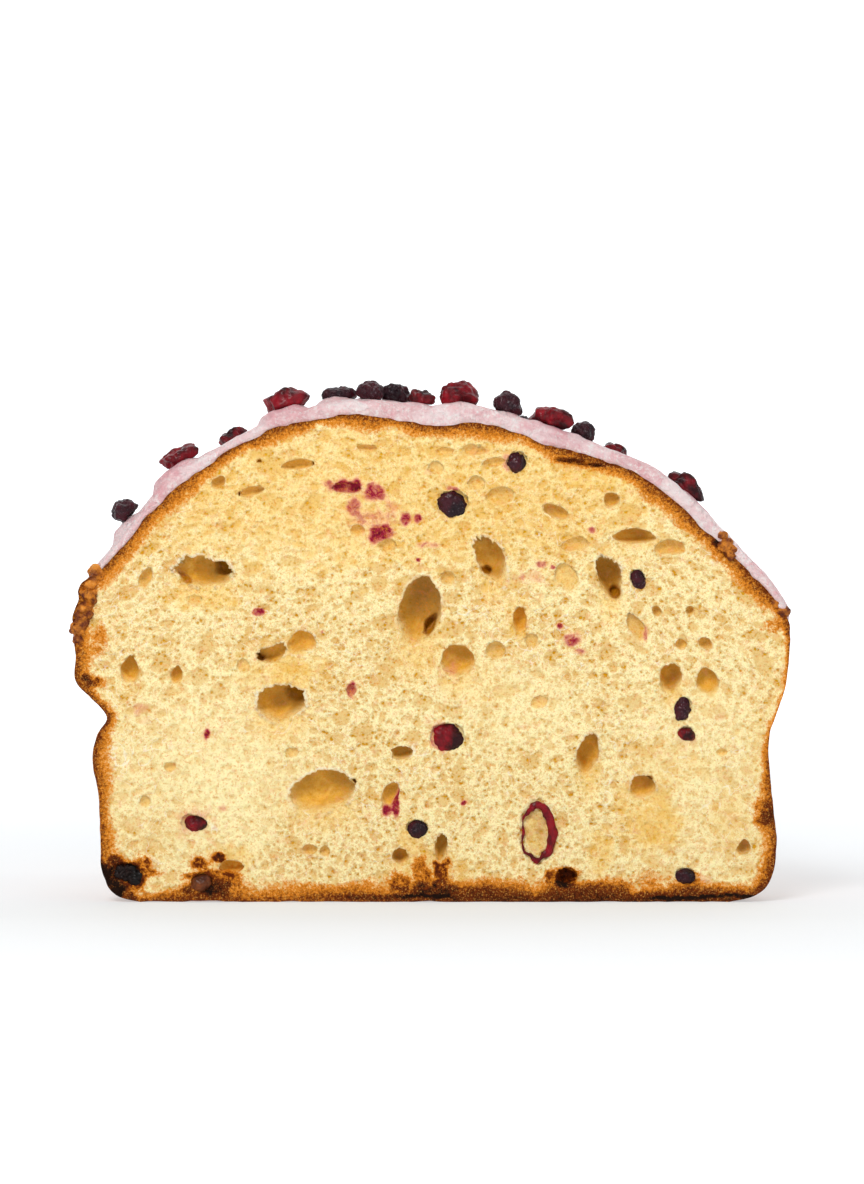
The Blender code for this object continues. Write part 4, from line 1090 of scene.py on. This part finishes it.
def build_crust(s):
    """The loaf's browned skin and its base."""
    place, shares, points = crust_grid()
    count = len(place)
    faces = grid_faces(count, len(shares), closed=True)
    z = points[:, 2]
    tone = 0.50 + 0.30 * smooth((z - 40) / 10) - 0.16 * smooth((z - 6) / 8) * (1 - smooth((z - 34) / 6))
    tone = tone + 0.25 * (1 - smooth(z / 5))
    tone = np.where(z < 0.8, 0.78, tone)
    baked = crust_material(s)
    obj = add_piece("crust", points, faces.tolist(), baked, ["loaf"], {"tone": tone})
    merge_near(obj, 0.04 * MM)
    build_crags(baked)


def build_crags(baked):
    """Crags of browned dough that stand out from the lips of the cut."""
    bm = bmesh.new()
    bmesh.ops.create_icosphere(bm, subdivisions=5, radius=1.0)
    ball = np.array([v.co for v in bm.verts])
    ball_faces = np.array([[v.index for v in face.verts] for face in bm.faces])
    bm.free()
    points, faces = [], []
    for i, (x, y, z, radius) in enumerate(LIP_CRAGS):
        at = np.array([x, y, z]) + ball * radius
        swell = 0.36 * waves(at, 2.0, 141) + 0.26 * waves(at, 0.95, 142) + 0.14 * waves(at, 0.5, 143)
        points.append(at + ball * radius * swell[:, None])
        faces.append(ball_faces + i * len(ball))
    points = np.concatenate(points)
    tone = 0.66 + 0.45 * waves(points, 1.3, 144) + 0.25 * smooth((points[:, 0] - 60) / 4)
    add_piece("lip_crags", points, np.concatenate(faces).tolist(), baked, ["loaf"], {"tone": tone})


# The icing

def icing_end(side, share):
    """The row at which the icing ends, eased from each place in the table to the next."""
    table = ICING_ENDS[side]
    places = np.array([p for p, _ in table])
    rows = np.array([r for _, r in table])
    i = np.clip(np.searchsorted(places, share, side="right") - 1, 0, len(table) - 2)
    ease = smooth((share - places[i]) / (places[i + 1] - places[i]))
    return rows[i] + (rows[i + 1] - rows[i]) * ease


def fruit_middles(kind):
    """The nodes of a kind of fruit on the icing, and each one's middle and half length in mm."""
    found = []
    for name in sorted(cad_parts):
        if name.startswith("top_" + kind):
            low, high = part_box(name)
            found.append((name, np.array((low + high) / 2) / MM - PLACE,
                          max(high.x - low.x, high.y - low.y) / 2 / MM))
    return found


def icing_front(foot, top, way, profile):
    """Layers of the icing's cut front, from its foot on the crust up: bulged and rough."""
    hang = 0.15 + 0.65 * smooth(0.5 + 0.6 * waves(foot, 5.0, 106) + 0.3 * waves(foot, 1.8, 107))
    foot = foot - way * (hang * profile)[:, None]
    last = foot.copy()
    last[:, 1] = 0.05
    layers = [last]
    for k in range(FRONT_LAYERS - 1, 0, -1):
        share = k / FRONT_LAYERS
        layer = top + (foot - top) * share
        bulge = math.sin(math.pi * (0.12 + 0.80 * share)) ** 0.6 * (0.55 + 0.35 * rough(layer, 4.0, 105))
        layer[:, 1] = -(bulge + 0.30 * rough(layer, 1.6, 108)) * profile
        layers.append(layer)
    return layers


def build_icing(s):
    """The icing: a rounded bead at its edge, soft swells, a rise round each fruit, a cut front."""
    across = np.linspace(-1, 1, ICING_COLUMNS)
    shares = np.linspace(0, 1, ICING_HOOPS) ** ICING_CROWDING
    wide, far = np.tile(across, len(shares)), np.repeat(shares, len(across))
    points = np.zeros((len(wide), 3))
    ways = np.zeros((len(wide), 3))
    edge = np.zeros(len(wide))
    flank = np.zeros(len(wide))
    for side, chosen in ((0, wide < 0), (1, wide >= 0)):
        along = np.stack([far[chosen] * 60, np.full(chosen.sum(), side * 9.0)], -1)
        wiggle = 0.10 * waves(along, 1.0, 101)
        end = icing_end(side, far[chosen]) + wiggle
        row = end + (RIDGE_ROW - end) * (1 - np.abs(wide[chosen]))
        points[chosen], ways[chosen] = skin(side, row, far[chosen])
        edge[chosen] = (row - end) * 7.0
        flank[chosen] = smooth((row - end) / 2.2)
    full = s.icing_thickness / MM
    metres = points * MM / (17 * MM) + (5.0, 1.0, 9.0)
    broad = np.array([noise.noise(Vector(p)) for p in metres])
    swell = ICING_SWELL * broad * flank + 0.30 * rough(points, 5.0, 103) + 0.26 * rough(points, 2.0, 104)
    thick = ICING_GAP + ICING_EDGE + (full - ICING_EDGE) * flank + swell
    near_cut = 1 - smooth(points[:, 1] / 25)
    thick = thick + 1.5 * near_cut * np.exp(-((points[:, 0] - 3) / 9) ** 2)
    # Its edge is a rounded bead with a low roll above it
    bead = np.clip(edge / 4.2, 0, 1)
    profile = (1 - (1 - bead) ** 2.6) ** 0.5
    drip = 0.15 * np.exp(-((edge - 4.0) / 2.6) ** 2)
    juice = np.zeros(len(points))
    rise = np.zeros(len(points))
    for kind in ("cranberry", "currant"):
        for _, middle, half in fruit_middles(kind):
            away = np.linalg.norm((points - middle) * (1, 1, 0.5), axis=-1)
            rise = np.maximum(rise, 0.75 * smooth((half + 1.6 - away) / 2.4))
            juice = np.maximum(juice, np.exp(-(away / (half * 1.15)) ** 4)
                               * (0.9 if kind == "cranberry" else 0.4))
    # It ran thin down the left flank, though not under the fruit, and lies fuller behind the lip
    thin = 0.9 * near_cut * smooth((-points[:, 0] - 18) / 10) * smooth(thick - 1.4)
    thick = thick - thin * (1 - rise / 0.75)
    behind = np.exp(-((points[:, 2] - 56) / 7) ** 2 - ((points[:, 1] - 9) / 7) ** 2) * (points[:, 0] < 0)
    lift = (thick + drip + rise + 1.3 * behind) * profile - 0.15
    # The knife's edge is rounded off
    rounded = smooth(points[:, 1] / 0.9)
    lift = lift - 0.45 * (1 - rounded) * profile
    outer = points + ways * lift[:, None]
    front = slice(0, ICING_COLUMNS)
    layers = icing_front(points[front], outer[front], ways[front], profile[front])
    grid = np.concatenate([*layers, outer])
    faces = grid_faces(ICING_COLUMNS, ICING_HOOPS + FRONT_LAYERS, closed=False).tolist()
    values = {
        "thin": np.concatenate([np.zeros(ICING_COLUMNS * FRONT_LAYERS), 1 - profile]),
        "juice": np.concatenate([np.tile(juice[front], FRONT_LAYERS) * 0.5, juice]),
    }
    obj = add_piece("icing_coat", grid, faces, icing_material(s), ["icing"], values)
    merge_near(obj, 0.02 * MM)


# Fruit

def dress_fruit(name, kind, caught, detail=5):
    """A node of fruit as dried skin: the node's own form, drawn smooth, then folded and wrinkled."""
    folds, wrinkles, size = FRUIT_LOOKS[kind]
    source = bmesh.new()
    source.from_mesh(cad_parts[name].data)
    surface = BVHTree.FromBMesh(source)
    middle = sum((v.co for v in source.verts), Vector()) / len(source.verts)
    source.free()
    bm = bmesh.new()
    bmesh.ops.create_icosphere(bm, subdivisions=detail, radius=1.0)
    for vert in bm.verts:
        way = vert.co.normalized()
        hit = surface.ray_cast(middle, way)[0]
        if hit is not None:
            vert.co = way * (hit - middle).length
        else:
            vert.co = way * (surface.find_nearest(middle + way * 2 * MM)[0] - middle).length
    for _ in range(2 + detail):
        bmesh.ops.smooth_vert(bm, verts=bm.verts, factor=0.5, use_axis_x=True, use_axis_y=True,
                              use_axis_z=True)
    points = np.array([v.co for v in bm.verts]) / MM
    faces = [[v.index for v in face.verts] for face in bm.faces]
    bm.free()
    way = points / np.linalg.norm(points, axis=1)[:, None]
    centre = np.array(middle) / MM - PLACE
    # Flat sides where the fruit was pressed as it dried
    for i in range(0 if caught else FACETS[kind]):
        corner = np.floor(np.stack([centre * 10 + i * 3.1, centre * 7 + i * 5.7], -1)).astype(np.int64)
        normal = lattice(corner, 115) * 2 - 1
        normal /= np.linalg.norm(normal)
        level = (points @ normal).max() * (0.70 + 0.26 * lattice(np.array([[i, 1, 2]]), 116)[0])
        over = np.maximum(points @ normal - level, 0.0)
        points = points * (1 - over / np.maximum(points @ normal, 1e-6))[:, None]
    uneven = 1.0 if caught else 1.07 + 0.16 * waves(way * 1.9 + centre, 1.0, 117)
    span = np.linalg.norm(points, axis=1) * uneven
    at = points + centre * 3.7
    scale = min(1.0, span.mean() / 3.0)
    crease = np.clip(1 - np.abs(rough(at, size, 111, octaves=2)) * 3.2, 0, 1)
    dent = np.clip(-waves(at, size * 1.4, 113) - 0.1, 0, 1)
    fine = np.clip(1 - np.abs(waves(at, size * 0.36, 114)) * 2.4, 0, 1)
    swell = (0.75 if caught else 0.50) * folds * scale
    radius = span + swell - folds * scale * (0.75 * crease + 0.9 * dent) - wrinkles * scale * fine
    # The last value marks how much painted shade the creases and dents get
    return centre + way * radius[:, None], faces, np.clip(0.8 * crease + dent * 0.3, 0, 1)


def join_fruit(piece, kind, names, made_of):
    """Several nodes of fruit as one piece, each at its own place."""
    points, faces, fold_shade_and_tone, own = [], [], [], []
    start = 0
    for i, name in enumerate(names):
        own_points, own_faces, own_fold_shade = dress_fruit(name, kind, not name.startswith("top"))
        points.append(own_points)
        faces += [[index + start for index in face] for face in own_faces]
        fold_shade_and_tone.append(own_fold_shade)
        one = lattice(np.array([[i, 3, 5]]), 121)[0]
        tones = one * 0.6 + 0.2 + 0.30 * waves(own_points, 3.0, 122)
        if not name.startswith("top"):
            tones = tones - 0.4 * np.clip((own_points[:, 0] - own_points[:, 0].mean()) / 2, -1, 1)
        own.append(tones)
        start += len(own_points)
    return add_piece(piece, np.concatenate(points), faces, made_of, names,
                     {"fold_shade_and_tone": np.concatenate(fold_shade_and_tone), "own": np.concatenate(own)})


def build_skin_ring(made_of):
    """The cranberry cut through, of which the rim of skin shows round its flesh."""
    x, z, width, height, thick = SKIN_RING
    around, section = 120, 28
    a = np.repeat(np.arange(around), section) / around * 2 * math.pi
    b = np.tile(np.arange(section), around) / section * 2 * math.pi
    heavy = 0.5 + 0.5 * np.cos(a - math.radians(25))
    body = thick / 2 * (0.26 + 0.80 * heavy
                        + 0.26 * waves(np.stack([np.cos(a), np.sin(a)], -1) * 3.2, 1.0, 131)
                        + 0.20 * waves(np.stack([np.cos(a), np.sin(a), np.cos(b)], -1) * 6, 1.0, 132))
    drift = 0.55 * waves(np.stack([np.cos(a), np.sin(a)], -1) * 2.4, 1.0, 133)
    out_x, out_z = np.cos(a), np.sin(a)
    reach = np.stack([out_x * (width / 2 + drift), np.zeros_like(a), out_z * (height / 2 + drift)], -1)
    across = np.stack([out_x * np.cos(b), np.sin(b) * 0.9, out_z * np.cos(b)], -1)
    points = np.array([x, 0.35, z]) + reach + across * body[:, None]
    ring = np.arange(around)
    faces = [[i * section + k, i * section + (k + 1) % section,
              ((i + 1) % around) * section + (k + 1) % section, ((i + 1) % around) * section + k]
             for i in ring for k in range(section)]
    # On the ring the same mark is a random darker tone, as it has no folds
    fold_shade_and_tone = np.clip(0.5 + waves(points, 1.1, 134), 0, 1)
    return add_piece("cut_cranberry_skin", points, faces, made_of,
                     ["crumb_cranberry_4"], {"fold_shade_and_tone": fold_shade_and_tone, "own": np.full(len(points), 0.9)})


def build_fruit(s):
    """All the fruit, each kind of it in one piece on the icing and one in the crumb."""
    cranberry = fruit_material("dried_cranberry", s.cranberry, s.cranberry_dark, s.bloom, 0.02, 0.28)
    currant = fruit_material("dried_currant", linear("#44101C"), s.currant, s.bloom, 0.42, 0.34)
    burnt = fruit_material("burnt_fruit", linear("#1E0C08"), linear("#0C0605"), linear("#5A4038"), 0.05, 0.45)
    raisin = fruit_material("baked_raisin_skin", s.raisin, linear("#4A2210"), s.bloom, 0.0, 0.5)
    for kind, made_of in (("cranberry", cranberry), ("currant", currant)):
        top = [name for name, _, _ in fruit_middles(kind)]
        join_fruit(f"{kind}_scatter", kind, top, made_of)
        caught = [row[0] for row in FRUIT_POCKETS if row[0].startswith("crumb_" + kind)]
        join_fruit(f"{kind}_in_crumb", kind, caught, made_of)
    join_fruit("burnt_fruit", "burnt", ["burnt_currant"], burnt)
    join_fruit("raisin_in_crust", "raisin", ["baked_raisin"], raisin)
    build_skin_ring(cranberry)


# The stage

def build_stage(s):
    """A white floor that curves up into a backdrop, soft lights and the photograph's camera."""
    front, back, rise, bend = -3.0, 2.6, 3.0, 0.8
    profile = [(front, 0.0), (back, 0.0)]
    profile += [(back + bend * math.sin(t * math.pi / 16), bend * (1 - math.cos(t * math.pi / 16)))
                for t in range(1, 9)]
    profile.append((back + bend, rise))
    half = 6.0
    points = [(side * half, y, z) for y, z in profile for side in (-1, 1)]
    faces = [[2 * i, 2 * i + 1, 2 * i + 3, 2 * i + 2] for i in range(len(profile) - 1)]
    mesh = bpy.data.meshes.new("floor")
    mesh.from_pydata(points, [], faces)
    mesh.materials.append(floor_material(s))
    mesh.shade_smooth()
    floor = bpy.data.objects.new("floor", mesh)
    bpy.context.scene.collection.objects.link(floor)

    world = bpy.data.worlds.new("studio")
    world.use_nodes = True
    background = world.node_tree.nodes["Background"]
    background.inputs["Color"].default_value = (1.0, 1.0, 1.0, 1.0)
    background.inputs["Strength"].default_value = 0.33
    bpy.context.scene.world = world
    lights = (
        ("key", (-0.30, -0.95, 0.85), 0.45, 8.35),
        ("fill", (0.85, -0.90, 0.45), 1.1, 2.2),
        ("top", (0.1, 0.45, 1.2), 0.9, 4.0),
    )
    for name, place, size, power in lights:
        light = bpy.data.lights.new(name, "AREA")
        light.shape = "DISK"
        light.size = size
        light.energy = power
        lamp = bpy.data.objects.new(name, light)
        lamp.location = place
        aim = Vector((0.0, 0.0, 0.05)) - Vector(place)
        lamp.rotation_euler = aim.to_track_quat("-Z", "Y").to_euler()
        bpy.context.scene.collection.objects.link(lamp)

    camera = bpy.data.cameras.new("camera")
    camera.sensor_width = 36.0
    camera.lens = CAMERA_AWAY / (PHOTO_SCALE * MM) / PHOTO_SIZE[1] * camera.sensor_width
    eye = bpy.data.objects.new("camera", camera)
    middle_x = (PHOTO_SIZE[0] / 2 - CUT_AT_PIXEL[0]) * PHOTO_SCALE
    middle_z = (CUT_AT_PIXEL[1] - PHOTO_SIZE[1] / 2) * PHOTO_SCALE
    eye.location = (Vector(PLACE) + Vector((middle_x, 0.0, middle_z))) * MM
    eye.location.y -= CAMERA_AWAY
    eye.rotation_euler = (math.pi / 2, 0.0, 0.0)
    bpy.context.scene.collection.objects.link(eye)
    bpy.context.scene.camera = eye
    view = bpy.context.scene.view_settings
    view.view_transform = "Standard"
    view.look = "None"
    view.exposure = 0.0


class COLOMBA_OT_crust(bpy.types.Operator):
    """Builds the browned skin, the base and the crags on the lips of the cut"""

    bl_idname = "colomba.crust"
    bl_label = "Crust"
    bl_options = {"REGISTER", "UNDO"}

    def execute(self, context):
        build_crust(context.scene.colomba)
        return {"FINISHED"}


class COLOMBA_OT_crumb(bpy.types.Operator):
    """Builds the cut face with its bubbles and cells"""

    bl_idname = "colomba.crumb"
    bl_label = "Crumb"
    bl_options = {"REGISTER", "UNDO"}

    def execute(self, context):
        build_crumb(context.scene.colomba)
        return {"FINISHED"}


class COLOMBA_OT_icing(bpy.types.Operator):
    """Builds the icing over the dome"""

    bl_idname = "colomba.icing"
    bl_label = "Icing"
    bl_options = {"REGISTER", "UNDO"}

    def execute(self, context):
        build_icing(context.scene.colomba)
        return {"FINISHED"}


class COLOMBA_OT_fruit(bpy.types.Operator):
    """Builds the dried fruit on the icing and in the cut"""

    bl_idname = "colomba.fruit"
    bl_label = "Fruit"
    bl_options = {"REGISTER", "UNDO"}

    def execute(self, context):
        build_fruit(context.scene.colomba)
        return {"FINISHED"}


class COLOMBA_OT_stage(bpy.types.Operator):
    """Builds the floor, the lights and the camera"""

    bl_idname = "colomba.stage"
    bl_label = "Stage"
    bl_options = {"REGISTER", "UNDO"}

    def execute(self, context):
        build_stage(context.scene.colomba)
        return {"FINISHED"}


OPERATORS = (COLOMBA_OT_crust, COLOMBA_OT_crumb, COLOMBA_OT_icing, COLOMBA_OT_fruit,
             COLOMBA_OT_stage)


class COLOMBA_PT_panel(bpy.types.Panel):
    bl_idname = "COLOMBA_PT_panel"
    bl_label = "Colomba cake"
    bl_space_type = "VIEW_3D"
    bl_region_type = "UI"
    bl_category = "Colomba"

    def draw(self, context):
        for operator in OPERATORS:
            self.layout.operator(operator.bl_idname)
        for name in ColombaSettings.__annotations__:
            self.layout.prop(context.scene.colomba, name)


CLASSES = (ColombaSettings, *OPERATORS, COLOMBA_PT_panel)


def register():
    for cls in CLASSES:
        bpy.utils.register_class(cls)
    bpy.types.Scene.colomba = bpy.props.PointerProperty(type=ColombaSettings)


def unregister():
    del bpy.types.Scene.colomba
    for cls in reversed(CLASSES):
        bpy.utils.unregister_class(cls)


def main():
    register()
    for operator in OPERATORS:
        group, name = operator.bl_idname.split(".")
        result = getattr(getattr(bpy.ops, group), name)()
        if result != {"FINISHED"}:
            raise RuntimeError(f"{operator.bl_idname} did not finish")


if __name__ == "__main__":
    main()
